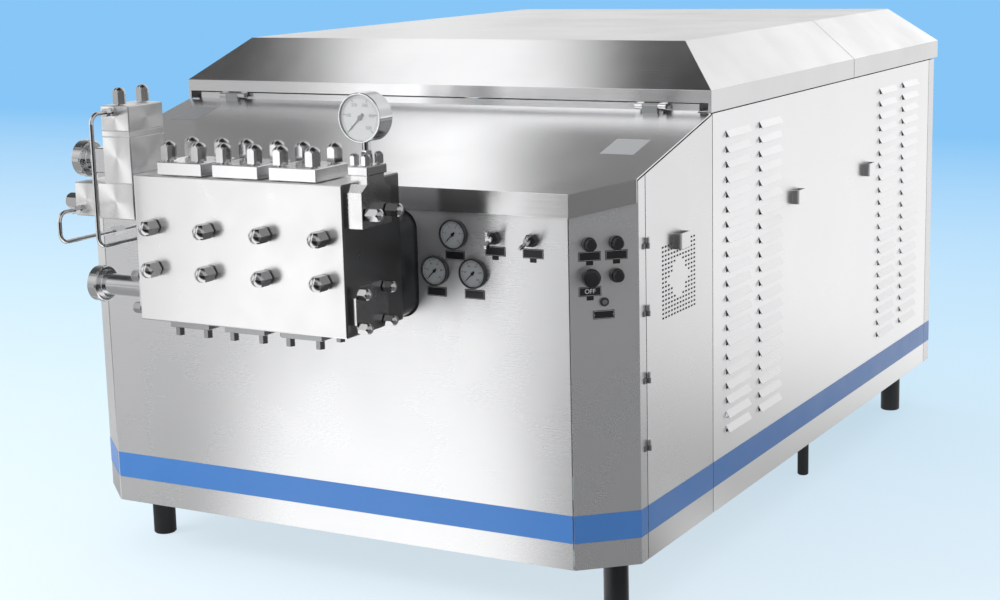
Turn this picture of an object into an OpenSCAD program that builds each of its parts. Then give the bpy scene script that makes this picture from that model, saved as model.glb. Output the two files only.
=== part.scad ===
// Dairy homogenizer: a three-plunger high-pressure pump driven by a motor and belts in a stainless cabinet.
// Millimetres. The origin is on the floor under the middle of the footprint, +X right, +Y to the back, +Z up.
// Depths named d are measured from the outer face of the front panel towards the back.

/* [Cabinet] */
// Width over the side panels
cabinet_w = 1560; // [1500:10:1700]
// Depth from the front panel to the rear panel
cabinet_d = 2380; // [2340:10:2600]
// Height of the body's lower edge above the floor
leg_h = 145; // [100:5:200]
// Outside diameter of the four main legs
leg_dia = 60; // [48:1:76]
// Width of the corner panels seen from the front
corner_w = 118; // [100:1:130]
// Depth of the corner panels along the side
corner_d = 108; // [95:1:120]
// Width of the corner panels' return along the side
corner_return = 35; // [28:1:40]
// Thickness of the cabinet's sheet
wall = 3; // [2:0.5:3.5]
// Gap between neighbouring panels
gap = 3; // [2:0.5:4]
// Depth of the folded edges of the panels
fold = 20; // [14:1:24]

/* [Hood and lid] */
// Height of the hood's front edge above the floor
deck_front_z = 1010; // [1005:1:1030]
// Slope of the hood's deck in degrees
deck_slope = 13.8; // [12:0.1:14]
// Depth of the hood from the front panel to the lid
hood_d = 525; // [510:1:540]
// Height of the hood's front fascia
fascia_h = 52; // [40:1:60]
// How far the fascia stands out in front of the front panel
fascia_out = 6; // [4:1:10]
// Height of the lid's lower edge above the floor
lid_seat_z = 1139; // [1139:1:1160]
// Height of the upright band round the lid
lid_band_h = 53; // [46:1:60]
// Height of the lid's sloping faces
lid_rise = 108; // [80:1:130]
// Width of the lid's sloping side faces
lid_slope_w = 125; // [90:1:150]
// Depth of the lid's sloping front and rear faces
lid_slope_d = 136; // [100:1:160]
// Rear overhang of the lid
lid_over = 40; // [34:1:60]
// Depth of the seam between the two lid sections
lid_seam_d = 1580; // [1300:10:1800]
// Gap between the lid's front band and its seat
lid_front_gap = 23; // [20:1:28]

/* [Side panels] */
// Pitch of the louvres
louvre_pitch = 37; // [32:1:42]
// Number of louvres in a column
louvre_rows = 21; // [12:1:22]
// Length of a louvre
louvre_len = 152; // [120:1:160]
// Height of a louvre
louvre_h = 18; // [14:1:22]
// How far a louvre stands out
louvre_out = 10; // [7:1:12]
// Length of a pull handle
handle_len = 58; // [50:1:80]
// Height of a pull handle's strap
handle_h = 36; // [26:1:44]
// How far a pull handle stands out
handle_out = 19; // [16:1:28]
// Thickness of a pull handle's strap
handle_t = 4; // [3:0.5:5]
// Height of the handles' middle
handle_z = 861; // [800:1:900]
// Pitch of the ventilation slots along the door
slot_pitch_d = 16.5; // [14:0.5:18]
// Pitch of the ventilation slots up the door
slot_pitch_z = 10.3; // [9:0.1:12]
// Length of a ventilation slot
slot_len = 10; // [7:0.5:12]
// Height of a ventilation slot
slot_h = 4.5; // [3:0.5:6]

/* [Pump block] */
// Width of the pump block
block_w = 570; // [560:1:620]
// Depth of the pump block
block_d = 230; // [220:1:240]
// Height of the pump block
block_h = 336; // [320:1:350]
// Distance of the block's front face from the front panel
head_out = 322; // [310:1:340]
// Height of the plungers' axis above the floor
axis_z = 888; // [880:1:900]
// How far the block reaches above the plungers' axis
block_up = 165; // [155:1:172]
// Distance between neighbouring plungers
plunger_pitch = 154; // [150:1:158]
// Diameter of a plunger
plunger_dia = 55; // [45:1:60]
// Stroke of a plunger
stroke = 70; // [50:1:80]
// Vertical distance between the two rows of tie studs
stud_rows = 96; // [90:1:104]
// Diameter of the tie studs
stud_dia = 22; // [20:1:24]
// Width of the large cap nuts across the flats
nut_af = 33; // [30:1:36]
// Height of the large cap nuts
nut_h = 46; // [40:1:50]
// Width of a valve cover
cover_w = 126; // [120:1:134]
// Thickness of a valve cover
cover_t = 30; // [24:1:36]

/* [Homogenizing head] */
// Width of the first stage's body
stage_w = 82; // [74:1:90]
// Depth of the stage bodies
stage_d = 122; // [110:1:130]
// Height of the first stage's body
stage_h = 107; // [95:1:120]
// Height of the first stage's cap
cap_h = 58; // [50:1:66]
// Width of the stage block
stage_block_w = 104; // [98:1:112]
// Height of the stage block
stage_block_h = 83; // [76:1:90]
// Width of the second stage's body
second_w = 72; // [64:1:80]
// Outside diameter of the product pipes
pipe_dia = 51; // [38:1:63.5]
// Wall of the product pipes
pipe_wall = 1.5; // [1.2:0.1:2]
// Outside diameter of a union nut
union_dia = 84; // [80:1:92]
// Width of a union nut
union_w = 32; // [28:1:40]
// Outside diameter of the pressure tubes
tube_dia = 10; // [8:1:12]
// How far the loops of the pressure tubes stand in front of the pump block
tube_out = 78; // [74:1:90]

/* [Instruments] */
// Outside diameter of a panel gauge
gauge_dia = 70; // [60:1:76]
// Outside diameter of the gauge on the block
block_gauge_dia = 108; // [90:1:112]
// Diameter of a push button's bezel
bezel_dia = 32; // [28:1:36]
// Diameter of the large stop button
stop_dia = 42; // [36:1:46]
// Travel of a push button
button_travel = 4; // [3:0.5:5]

/* [Drive] */
// Diameter of the driven pulley
driven_dia = 560; // [500:10:600]
// Diameter of the motor pulley
motor_pulley_dia = 224; // [180:4:250]
// Number of belts
belts = 5; // [3:1:6]
// Pitch of the belts
belt_pitch = 22; // [20:1:25]
// Width of a belt
belt_w = 17; // [13:1:18]
// Diameter of the motor's finned frame
motor_dia = 500; // [420:10:520]
// Shaft height of the motor
motor_axis_h = 280; // [270:5:315]
// Diameter of the drive shafts
shaft_dia = 60; // [50:1:75]

/* [Hidden] */
$fn = 64;

// Clearances: round parts that run in a bore, fitted parts, parts that pass freely
run = 0.05;
fit = 0.2;
free = 0.5;

// Layout of the cabinet
half_w = cabinet_w / 2;
reach = head_out + tube_out + tube_dia / 2;
total_d = reach + cabinet_d + lid_over;
front_y = reach - total_d / 2;
corner_len = norm([corner_w, corner_d]);
corner_angle = atan2(corner_d, corner_w);
corner_x = half_w - corner_w;
strip_d = corner_d + corner_return;
door_d0 = strip_d + gap;
door_d1 = hood_d + 5;
side_d0 = door_d1 + gap;
rear_strip = 57;
side_d1 = cabinet_d - rear_strip;
side_top = lid_seat_z - gap;
lid_edge_z = lid_seat_z + lid_band_h;
lid_top_z = lid_edge_z + lid_rise;
lid_d1 = cabinet_d + lid_over;
lid_rest = 12;
deck_gap = 4;
deck_lip = 16;
lip_d = hood_d + 13;
lip_x = half_w - fold - lid_rest - gap;

// Base frame and machine layout
plate_t = 8;
beam_w = 90;
beam_z0 = leg_h + plate_t;
base_top = beam_z0 + 90;
beam_x = half_w - 90;
cross_d = [corner_d, 640, 1500, 1900, cabinet_d - 140];
post = 40;
leg_d = [187, cabinet_d - 150];
leg_x = [half_w - 104, half_w - 80];
jack_d = 1400;
jack_dia = 32;
case_z0 = 560;
case_d = [60, 330, 760];
case_w = 660;
case_top = axis_z + 112;
shaft_d = 690;
shaft_z = 700;
motor_d = 1745;
rail_h = 40;
motor_z = base_top + rail_h + motor_axis_h;
belt_x0 = 405;
belt_x1 = belt_x0 + belts * belt_pitch + 10;
belt_depth = 12;
belt_proud = 2;

// Layout of the pump block and its head
block_x = block_w / 2;
block_top = axis_z + block_up;
block_z0 = block_top - block_h;
block_d0 = -head_out;
block_d1 = block_d0 + block_d;
plunger_x = [-plunger_pitch, 0, plunger_pitch];
stud_x = [-1.5, -0.5, 0.5, 1.5] * plunger_pitch;
cover_d = block_d0 + 5 + cover_w / 2;
cover_gap = 1.5;
cover_top = block_top + cover_gap + cover_t;
cover_nut = cover_w / 2 - nut_af / 2 - 4;
manifold_d = block_d0 + 82;
manifold_z = block_z0 + 58;
flange_t = 14;
flange_d = 130;
flange_h = 104;
flange_nut_d = 51;
flange_nut_z = 38;
stage_z = block_top - 23;
stage_x = -block_x;
stage_d0 = block_d0;
stage_mid_d = stage_d0 + stage_d / 2;
second_x = stage_x - stage_block_w;
second_end = second_x - second_w;
spacer_h = 13;
second_in = 2;
cap_z = stage_z + stage_h + spacer_h;
outlet_z = stage_z + 47;
mount_w = 41;
mount_x = block_x + mount_w;
mount_plate_z = block_top + 16;
mount_plate_w = 52;
mount_plate_len = 78;
mount_plate_t = 20;
mount_plate_d = block_d0 + 76;
gauge_x = mount_x - mount_plate_w / 2 + 2;
gauge_d = mount_plate_d;
gauge_z = axis_z + 304;
housing_x = 267;
housing_z = [705, 951];
housing_r = 42;
housing_wall = 16;
housing_d1 = case_d[0];
gland_len = 30;
gland_dia = 90;
crosshead_dia = 110;
crosshead_len = 120;
crosshead_d = case_d[0] + stroke / 2 + 8;

// Places of the instruments
panel_gauge_x = [corner_x - 291, corner_x - 342, corner_x - 242];
panel_gauge_z = [904, 817, 817];
wing_x = [corner_x - 186, corner_x - 90];
wing_z = 902;
button_u = [43, 106, 106, 43];
button_z = [896, 896, 823, 823];
key_u = 78;
key_z = 764;
gauge_out = 14;

// Colours
steel = "#c8ccd1";
bright = "#dfe2e6";
dark = "#33363b";
iron = "#4f6a72";
black = "#1b1c1f";
glass = "#dfeaf055";

function fy(d) = front_y + d;
function deck_z(d) = deck_front_z + d * tan(deck_slope);
function unit(v) = v / norm(v);

// Placing: a point by depth, and outlines drawn as seen from the front, the side and the top
module place(x, d, z) {
    translate([x, fy(d), z]) children();
}

module from_front(d0, d1) {
    translate([0, fy(d1), 0]) rotate([90, 0, 0]) linear_extrude(d1 - d0) children();
}

module from_side(x0, x1) {
    translate([x0, front_y, 0]) rotate([90, 0, 90]) linear_extrude(x1 - x0) children();
}

module from_top(z0, z1) {
    translate([0, front_y, z0]) linear_extrude(z1 - z0) children();
}

// Local frame of the right corner panel: x along the panel, -y outwards
module on_corner(u, z) {
    translate([corner_x, front_y, 0]) rotate([0, 0, corner_angle]) translate([u, 0, z]) children();
}

// Axes for round parts that are drawn along +Z
module to_front() {
    rotate([90, 0, 0]) children();
}

module to_back() {
    rotate([-90, 0, 0]) children();
}

module to_left() {
    rotate([0, -90, 0]) children();
}

module to_right() {
    rotate([0, 90, 0]) children();
}

module both_sides() {
    children();
    mirror([1, 0, 0]) children();
}

// Plain shapes
module rect(a, b) {
    translate([a[0], b[0]]) square([a[1] - a[0], b[1] - b[0]]);
}

module chamfer_rect(a, b, c) {
    polygon([[a[0] + c, b[0]], [a[1] - c, b[0]], [a[1], b[0] + c], [a[1], b[1] - c],
        [a[1] - c, b[1]], [a[0] + c, b[1]], [a[0], b[1] - c], [a[0], b[0] + c]]);
}

module round_rect(a, b, r) {
    rect([a[0] + r, a[1] - r], b);
    rect(a, [b[0] + r, b[1] - r]);
    for (x = [a[0] + r, a[1] - r], y = [b[0] + r, b[1] - r]) translate([x, y]) circle(r);
}

module box(x, d, z) {
    translate([x[0], fy(d[0]), z[0]]) cube([x[1] - x[0], d[1] - d[0], z[1] - z[0]]);
}

// A block with chamfered edges all round
module chamfer_box(x, d, z, c) {
    intersection() {
        from_side(x[0], x[1]) chamfer_rect(d, z, c);
        from_front(d[0], d[1]) chamfer_rect(x, z, c);
        from_top(z[0], z[1]) chamfer_rect(x, d, c);
    }
}

// Hexagon cap nut along +Z: a hexagon bar whose end is turned to a dome
module cap_nut(af, h) {
    corner = af / cos(30);
    dome = 0.6 * af;
    collar = 0.1 * af;
    cylinder(d = 0.62 * af, h = 2 * collar);
    intersection() {
        translate([0, 0, collar]) cylinder(d = corner, h = h - collar, $fn = 6);
        union() {
            cylinder(r = dome, h = h - dome);
            translate([0, 0, h - dome]) sphere(dome);
        }
    }
}

module hex_head(af, h) {
    cylinder(d = af / cos(30), h = h, $fn = 6);
}

// A round bar between two points
module bar_between(p, q, dia) {
    v = q - p;
    translate(p) rotate([0, acos(v[2] / norm(v)), atan2(v[1], v[0])]) cylinder(d = dia, h = norm(v));
}

// A round elbow of radius r at point b on the way from a to c
module elbow(a, b, c, r, dia) {
    u = unit(b - a);
    v = unit(c - b);
    turn = acos(u * v);
    set_back = r * tan(turn / 2);
    n = unit(cross(u, v));
    e = cross(u, n);
    mid = b - u * set_back - e * r;
    multmatrix([[e[0], u[0], n[0], mid[0]], [e[1], u[1], n[1], mid[1]], [e[2], u[2], n[2], mid[2]],
        [0, 0, 0, 1]])
        rotate_extrude(angle = turn) translate([r, 0]) circle(d = dia);
}

// A bent tube along points: straight runs joined by round elbows
module bent_tube(points, r, dia) {
    last = len(points) - 1;
    function cut(i) = i == 0 || i == last ? 0
        : r * tan(acos(unit(points[i] - points[i - 1]) * unit(points[i + 1] - points[i])) / 2);
    for (i = [0:last - 1]) {
        u = unit(points[i + 1] - points[i]);
        bar_between(points[i] + u * cut(i), points[i + 1] - u * cut(i + 1), dia);
    }
    for (i = [1:last - 1]) elbow(points[i - 1], points[i], points[i + 1], r, dia);
}

// Base frame: separate beams, with four posts that carry the crankcase
module base_frame() color(dark) {
    for (s = [-1, 1])
        box([s * beam_x - beam_w / 2, s * beam_x + beam_w / 2], [cross_d[0], cabinet_d - 50], [beam_z0, base_top]);
    inner = beam_x - beam_w / 2;
    for (d = cross_d) box([-inner, inner], [d, d + beam_w], [beam_z0, base_top]);
    for (s = [-1, 1], d = [cross_d[0], cross_d[1]])
        box([s * 270 - 30, s * 270 + 30], [d, d + beam_w], [base_top, case_z0]);
}

// Legs: four tubes with a plate on top, and a slimmer jacking leg on each side
module leg(dia) {
    edge = 3;
    rotate_extrude() polygon([[0, 0], [dia / 2 - edge, 0], [dia / 2, edge], [dia / 2, leg_h], [0, leg_h]]);
    translate([-beam_w / 2, -beam_w / 2, leg_h]) cube([beam_w, beam_w, plate_t]);
}

module legs() color(dark) {
    for (s = [-1, 1], i = [0, 1]) place(s * leg_x[i], leg_d[i], 0) leg(leg_dia);
    for (s = [-1, 1]) place(s * leg_x[1], jack_d, 0) leg(jack_dia);
}

// Frame that carries the panels: separate square posts and rails
module panel_frame() color(steel) {
    x1 = half_w - fold;
    mid = (door_d1 + side_d0) / 2;
    rear = [side_d1 - post / 2, cabinet_d - wall];
    mid_top = deck_z(mid - post / 2) - wall - deck_gap;
    for (s = [-1, 1]) {
        x = s > 0 ? [x1 - post, x1] : [-x1, post - x1];
        box(x, [mid - post / 2, mid + post / 2], [base_top, mid_top]);
        box(x, rear, [base_top, lid_seat_z]);
        box(x, [mid + post / 2, rear[0]], [lid_seat_z - post, lid_seat_z]);
    }
    box([post - x1, x1 - post], [mid - post / 2, mid + post / 2], [mid_top - 2 * post, mid_top - post]);
    box([post - x1, x1 - post], [rear[1] - post, rear[1]], [lid_seat_z - 2 * post, lid_seat_z - post]);
}

// Space under the sloping deck, lowered by g
module under_deck(g) {
    translate([0, front_y, deck_front_z - g]) rotate([deck_slope, 0, 0])
        translate([-cabinet_w, -cabinet_w, -2 * cabinet_w]) cube([2 * cabinet_w, 3 * cabinet_w, 2 * cabinet_w]);
}

// Front panel with the pump opening and the instrument holes
module front_panel() color(steel) {
    edge = corner_x - gap;
    from_front(0, wall) difference() {
        rect([-edge, edge], [leg_h, deck_front_z - wall - deck_gap]);
        round_rect([-housing_x - deck_gap, housing_x + deck_gap],
            [housing_z[0] - deck_gap, housing_z[1] + deck_gap], housing_r + deck_gap);
        for (i = [0:2]) translate([panel_gauge_x[i], panel_gauge_z[i]]) circle(d = gauge_dia - 8);
        for (x = wing_x) translate([x, wing_z]) circle(d = 20 + 2 * fit);
        for (p = tube_ends()) translate([p[0], p[2]]) circle(d = tube_dia + 2 * free);
    }
    box([-edge, edge], [wall, fold], [leg_h, leg_h + wall]);
}

// Corner panel: a sheet across the corner with a return along the side
module corner_sheet() {
    n = [-corner_d, corner_w] / corner_len;
    inner_t = (half_w - wall - corner_x - n[0] * wall) / corner_w;
    intersection() {
        from_top(leg_h, deck_front_z + cabinet_w) polygon([[corner_x, 0], [half_w, corner_d], [half_w, strip_d],
            [half_w - wall, strip_d], [half_w - wall, n[1] * wall + inner_t * corner_d],
            [corner_x + n[0] * wall, n[1] * wall]]);
        under_deck(wall + deck_gap);
    }
}

module control_panel() color(steel) difference() {
    corner_sheet();
    for (i = [0:3]) on_corner(button_u[i], button_z[i]) to_back() translate([0, 0, -wall])
        cylinder(d = 22 + 2 * fit, h = 4 * wall);
    on_corner(key_u, key_z) to_back() translate([0, 0, -wall]) cylinder(d = 16 + 2 * fit, h = 4 * wall);
}

module left_corner_panel() color(steel) mirror([1, 0, 0]) corner_sheet();

// Hood: sloping deck with a fascia across the front and the corners, and an upright lip under the lid
module hood_outline(out) {
    k = tan(corner_angle / 2);
    j = tan((90 - corner_angle) / 2);
    polygon([[-half_w - out, corner_d - out * j], [-corner_x - out * k, -out], [corner_x + out * k, -out],
        [half_w + out, corner_d - out * j], [half_w + out, hood_d - gap], [-half_w - out, hood_d - gap]]);
}

module deck_band(top, depth) {
    difference() {
        under_deck(top);
        under_deck(top + depth);
    }
}

module hood() color(steel) {
    low = deck_front_z - 2 * fascia_h;
    high = deck_z(hood_d) + fascia_h;
    intersection() {
        union() {
            intersection() {
                from_top(low, high) {
                    hood_outline(fascia_out);
                    rect([-lip_x, lip_x], [hood_d - 2 * gap, lip_d]);
                }
                deck_band(0, wall);
            }
            intersection() {
                from_top(low, high) difference() {
                    hood_outline(fascia_out);
                    hood_outline(fascia_out - wall);
                    rect([-cabinet_w, cabinet_w], [corner_d - fascia_out, cabinet_d]);
                }
                deck_band(wall / 2, fascia_h);
            }
        }
        from_top(low, high) rect([-half_w, half_w], [-fascia_out, lip_d]);
    }
    lip_z = deck_z(lip_d) - wall;
    box([-lip_x, lip_x], [lip_d - wall, lip_d], [lip_z, lip_z + deck_lip + wall]);
}

// Rear panel with folded sides that meet the side panels
module rear_panel() color(steel) {
    outer = half_w;
    from_top(leg_h, side_top) difference() {
        rect([-outer, outer], [side_d1 + gap, cabinet_d]);
        rect([-outer + wall, outer - wall], [side_d1, cabinet_d - wall]);
    }
    box([-outer + wall, outer - wall], [cabinet_d - fold, cabinet_d - wall], [leg_h, leg_h + wall]);
}

// Hinges: fixed knuckles of the two doors and the two lid sections, with their pins
door_hinge_z = [873, 719, 564, 406];
door_pin_x = half_w + 5;
door_pin_d = strip_d + gap / 2;
knuckle_dia = 10;
knuckle_len = 12;
pin_dia = 5;
lid_hinge_x = 625;
lid_pin_d = hood_d - 6;
lid_pin_z = lid_seat_z + 13;
rear_pin_d = cabinet_d + 16;
rear_pin_z = lid_seat_z - 10;
lid_knuckle_dia = 14;
lid_knuckle_len = 40;
lid_pin_dia = 7;
lid_pin_len = 84;

module hinges() color(steel) {
    both_sides() for (z = door_hinge_z) {
        place(door_pin_x, door_pin_d, z) cylinder(d = knuckle_dia, h = knuckle_len);
        place(door_pin_x, door_pin_d, z) cylinder(d = pin_dia, h = 2 * knuckle_len + free);
        box([half_w, half_w + wall], [strip_d - 16, strip_d + gap / 2], [z, z + knuckle_len]);
    }
    for (s = [-1, 1]) {
        place(s * lid_hinge_x - lid_knuckle_len / 2, lid_pin_d, lid_pin_z) to_right()
            cylinder(d = lid_knuckle_dia, h = lid_knuckle_len);
        place(s * lid_hinge_x - lid_pin_len / 2, lid_pin_d, lid_pin_z) to_right()
            cylinder(d = lid_pin_dia, h = lid_pin_len);
        from_side(s * lid_hinge_x - lid_knuckle_len / 2, s * lid_hinge_x + lid_knuckle_len / 2) intersection() {
            rect([lid_pin_d - lid_knuckle_dia / 2, lid_pin_d + 3], [deck_z(hood_d) - 40, lid_pin_z]);
            polygon([[0, deck_front_z], [hood_d, deck_z(hood_d)], [hood_d, lid_edge_z], [0, lid_edge_z]]);
        }
        place(s * lid_hinge_x - lid_knuckle_len / 2, rear_pin_d, rear_pin_z) to_right()
            cylinder(d = lid_knuckle_dia, h = lid_knuckle_len);
        place(s * lid_hinge_x - lid_pin_len / 2, rear_pin_d, rear_pin_z) to_right()
            cylinder(d = lid_pin_dia, h = lid_pin_len);
        box([s * lid_hinge_x - lid_knuckle_len / 2, s * lid_hinge_x + lid_knuckle_len / 2],
            [cabinet_d, rear_pin_d], [rear_pin_z - 7, rear_pin_z - 3]);
        box([s * lid_hinge_x - lid_knuckle_len / 2, s * lid_hinge_x + lid_knuckle_len / 2],
            [cabinet_d, cabinet_d + wall], [rear_pin_z - 40, rear_pin_z - 3]);
    }
}

// Lid: a shallow hip roof, drawn i inside its outer skin
function hip(edge, slope, i) = [
    [edge - i, lid_edge_z - i * (1 - sin(atan2(lid_rise, slope))) / cos(atan2(lid_rise, slope))],
    [edge - slope - i * tan(atan2(lid_rise, slope) / 2), lid_top_z - i]];

module lid_form(i, low) {
    side = hip(half_w, lid_slope_w, i);
    length = lid_d1 - hood_d;
    ends = hip(length / 2, lid_slope_d, i);
    mid = hood_d + length / 2;
    intersection() {
        from_front(hood_d + i, lid_d1 - i) polygon([[-side[0][0], low], [side[0][0], low], side[0], side[1],
            [-side[1][0], side[1][1]], [-side[0][0], side[0][1]]]);
        from_side(-half_w + i, half_w - i) translate([mid, 0]) polygon([[-ends[0][0], low], [ends[0][0], low],
            ends[0], ends[1], [-ends[1][0], ends[1][1]], [-ends[0][0], ends[0][1]]]);
    }
}

module lid_section(d0, d1) {
    difference() {
        intersection() {
            lid_form(0, lid_seat_z);
            box([-cabinet_w, cabinet_w], [d0, d1], [lid_seat_z, lid_top_z + 1]);
        }
        lid_form(wall, lid_seat_z - 1);
        box([-half_w + 8, half_w - 8], [hood_d - 1, hood_d + wall + 1], [lid_seat_z - 1, lid_seat_z + lid_front_gap]);
    }
    rest = [max(d0, hood_d + wall), min(d1, lid_d1 - wall)];
    both_sides() box([half_w - fold - lid_rest, half_w - wall], rest, [lid_seat_z, lid_seat_z + wall]);
}

module lid_leaf(pin_d, pin_z, to_d, to_z) {
    len = (lid_pin_len - lid_knuckle_len) / 2 - 1;
    for (s = [-1, 1], t = [-1, 1]) {
        x0 = s * lid_hinge_x + t * (lid_knuckle_len / 2 + free + len / 2) - len / 2;
        difference() {
            union() {
                place(x0, pin_d, pin_z) to_right() cylinder(d = lid_knuckle_dia, h = len);
                box([x0, x0 + len], [min(pin_d, to_d), max(pin_d, to_d)], [pin_z + 2, pin_z + 6]);
                box([x0, x0 + len], [min(to_d, to_d + 3), max(to_d, to_d + 3)], [pin_z + 2, to_z]);
            }
            place(x0 - 1, pin_d, pin_z) to_right() cylinder(d = lid_pin_dia + 2 * run, h = len + 2);
        }
    }
}

module lid_front() color(steel) {
    lid_section(hood_d, lid_seam_d - gap / 2);
    lid_leaf(lid_pin_d, lid_pin_z, hood_d + wall, lid_seat_z + lid_front_gap + 16);
}

module lid_rear() color(steel) {
    lid_section(lid_seam_d + gap / 2, lid_d1);
    lid_leaf(rear_pin_d, rear_pin_z, lid_d1 - wall - 3, lid_seat_z + 30);
}

// Pull handle: a bent strap on the panel's face, its middle at depth d
module pull_handle(d, z) {
    r = 8;
    from_top(z - handle_h / 2, z + handle_h / 2) difference() {
        round_rect([half_w - 2 * r, half_w + handle_out], [d - handle_len / 2, d + handle_len / 2], r);
        round_rect([half_w - 2 * r, half_w + handle_out - handle_t],
            [d - handle_len / 2 + handle_t, d + handle_len / 2 - handle_t], r - handle_t / 2);
        rect([half_w - 3 * r, half_w], [d - handle_len, d + handle_len]);
    }
}

// Access door: perforated sheet with a blank octagon, folded edges, a handle and hinge knuckles
vent_cols = 12;
vent_rows = 17;
vent_d = 328;
vent_z = 777;

module vent_slots() {
    for (c = [0:vent_cols - 1], r = [0:vent_rows - 1]) {
        u = c - (vent_cols - 1) / 2;
        v = r - (vent_rows - 1) / 2;
        if (abs(v) + 1.3 * abs(u) > 5)
            translate([vent_d + u * slot_pitch_d, vent_z + v * slot_pitch_z]) square([slot_len, slot_h], center = true);
    }
}

module door() {
    low = leg_h;
    top0 = deck_z(door_d0) - wall - deck_gap;
    top1 = deck_z(door_d1) - wall - deck_gap;
    top_d1 = min(top1, lid_seat_z - gap);
    difference() {
        union() {
            from_side(half_w - wall, half_w) difference() {
                polygon([[door_d0, low], [door_d1, low], [door_d1, top_d1], [door_d0, top0]]);
                vent_slots();
            }
            box([half_w - fold, half_w - wall], [door_d0, door_d0 + wall], [low, top0 - 1]);
            box([half_w - fold, half_w - wall], [door_d1 - wall, door_d1], [low, top_d1 - 1]);
            box([half_w - fold, half_w - wall], [door_d0 + wall, door_d1 - wall], [low, low + wall]);
            for (z = door_hinge_z) {
                zk = z + knuckle_len + free / 2;
                place(door_pin_x, door_pin_d, zk) cylinder(d = knuckle_dia, h = knuckle_len);
                box([half_w, half_w + wall], [door_pin_d, door_d0 + 14], [zk, zk + knuckle_len]);
            }
        }
        for (z = door_hinge_z) place(door_pin_x, door_pin_d, z) cylinder(d = pin_dia + 2 * run, h = 3 * knuckle_len);
    }
    pull_handle(vent_d, handle_z + 3);
}

module right_door() color(steel) door();

module left_door() color(steel) mirror([1, 0, 0]) door();

// Side panel: lift-off sheet with four columns of louvres and two handles
louvre_d = [692, 913, 1895, 2120];
louvre_top = lid_seat_z - 51;
louvre_z0 = louvre_top - louvre_h - (louvre_rows - 1) * louvre_pitch;
side_handle_d = [1108, 1705];

// Louvres: each a flap lanced out of the sheet, open below and at its ends, rooted in the sheet's thickness
louvre_skin = 1.5;
louvre_root = 4;

module louvre_column(d) {
    from_front(d - louvre_len / 2, d + louvre_len / 2) for (i = [0:louvre_rows - 1])
        translate([half_w, louvre_z0 + louvre_h + i * louvre_pitch]) polygon([[-wall / 2, 0], [0, 0],
            [louvre_out, -louvre_h], [louvre_out - louvre_skin, -louvre_h], [0, -2 * louvre_skin],
            [-wall / 2, -2 * louvre_skin]]);
}

module side_panel() {
    slot = louvre_h - louvre_root;
    from_side(half_w - wall, half_w) difference() {
        rect([side_d0, side_d1], [leg_h, side_top]);
        for (d = louvre_d, i = [0:louvre_rows - 1])
            rect([d - louvre_len / 2, d + louvre_len / 2],
                [louvre_z0 + i * louvre_pitch, louvre_z0 + i * louvre_pitch + slot]);
    }
    for (d = louvre_d) louvre_column(d);
    for (d = [side_d0, side_d1 - wall]) box([half_w - fold, half_w - wall], [d, d + wall], [leg_h, side_top]);
    for (z = [leg_h, side_top - wall])
        box([half_w - fold, half_w - wall], [side_d0 + wall, side_d1 - wall], [z, z + wall]);
    for (d = side_handle_d) pull_handle(d, handle_z);
}

module right_side_panel() color(steel) side_panel();

module left_side_panel() color(steel) mirror([1, 0, 0]) side_panel();

// Gauges: a case with a recessed dial, a glass and a pointer, drawn along +Z towards the viewer
dial_depth = 5;
rim = 3.5;
pivot_dia = 3;

module gauge_case(dia, out, depth, neck) {
    difference() {
        union() {
            rotate_extrude() polygon([[0, 0], [dia / 2 - 1, 0], [dia / 2, 1], [dia / 2, out - 2],
                [dia / 2 - 1.5, out], [0, out]]);
            translate([0, 0, -depth]) cylinder(d = neck, h = depth);
        }
        translate([0, 0, out - dial_depth]) cylinder(d = dia - 2 * rim, h = dial_depth + 1);
        translate([0, 0, out - dial_depth - 5]) cylinder(d = pivot_dia + 2 * run, h = 6);
    }
}

module gauge_glass(dia, out) {
    translate([0, 0, out - 1.6]) cylinder(d = dia - 2 * rim - 2 * fit, h = 1.2);
}

module gauge_pointer(len, out) {
    base = out - dial_depth;
    hub = 0.09 * len + 1.5;
    translate([0, 0, base - 4]) cylinder(d = pivot_dia, h = 5);
    translate([0, 0, base + 1]) cylinder(r = hub, h = 1.2);
    translate([0, 0, base + 1.2]) linear_extrude(0.8)
        polygon([[-hub * 0.7, -0.28 * len], [hub * 0.7, -0.28 * len], [hub * 0.35, 0], [0.4, len],
            [-0.4, len], [-hub * 0.35, 0]]);
}

module panel_gauge(i) {
    place(panel_gauge_x[i], 0, panel_gauge_z[i]) to_front() children();
}

module block_gauge_at() {
    place(gauge_x, gauge_d, gauge_z) to_front() children();
}

block_gauge_t = 50;
pointer_rest = 135;

module panel_gauges() color(dark) for (i = [0:2]) panel_gauge(i) gauge_case(gauge_dia, gauge_out, 35, gauge_dia - 10);

module gauge_glasses() color(glass) {
    for (i = [0:2]) panel_gauge(i) gauge_glass(gauge_dia, gauge_out);
    block_gauge_at() gauge_glass(block_gauge_dia, block_gauge_t / 2);
}

module block_gauge() color(bright) {
    stem_z = mount_plate_z + mount_plate_t;
    block_gauge_at() translate([0, 0, -block_gauge_t / 2]) gauge_case(block_gauge_dia, block_gauge_t, 4, 70);
    place(gauge_x, gauge_d, stem_z) cylinder(d = 18, h = gauge_z - block_gauge_dia / 2 + 4 - stem_z);
    place(gauge_x, gauge_d, stem_z + 4) hex_head(27, 12);
    place(gauge_x, gauge_d, stem_z + 22) hex_head(22, 10);
}

module pointer_top() color(black) panel_gauge(0) rotate(pointer_rest) gauge_pointer(0.36 * gauge_dia, gauge_out);

module pointer_left() color(black) panel_gauge(1) rotate(pointer_rest) gauge_pointer(0.36 * gauge_dia, gauge_out);

module pointer_right() color(black) panel_gauge(2) rotate(pointer_rest) gauge_pointer(0.36 * gauge_dia, gauge_out);

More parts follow.
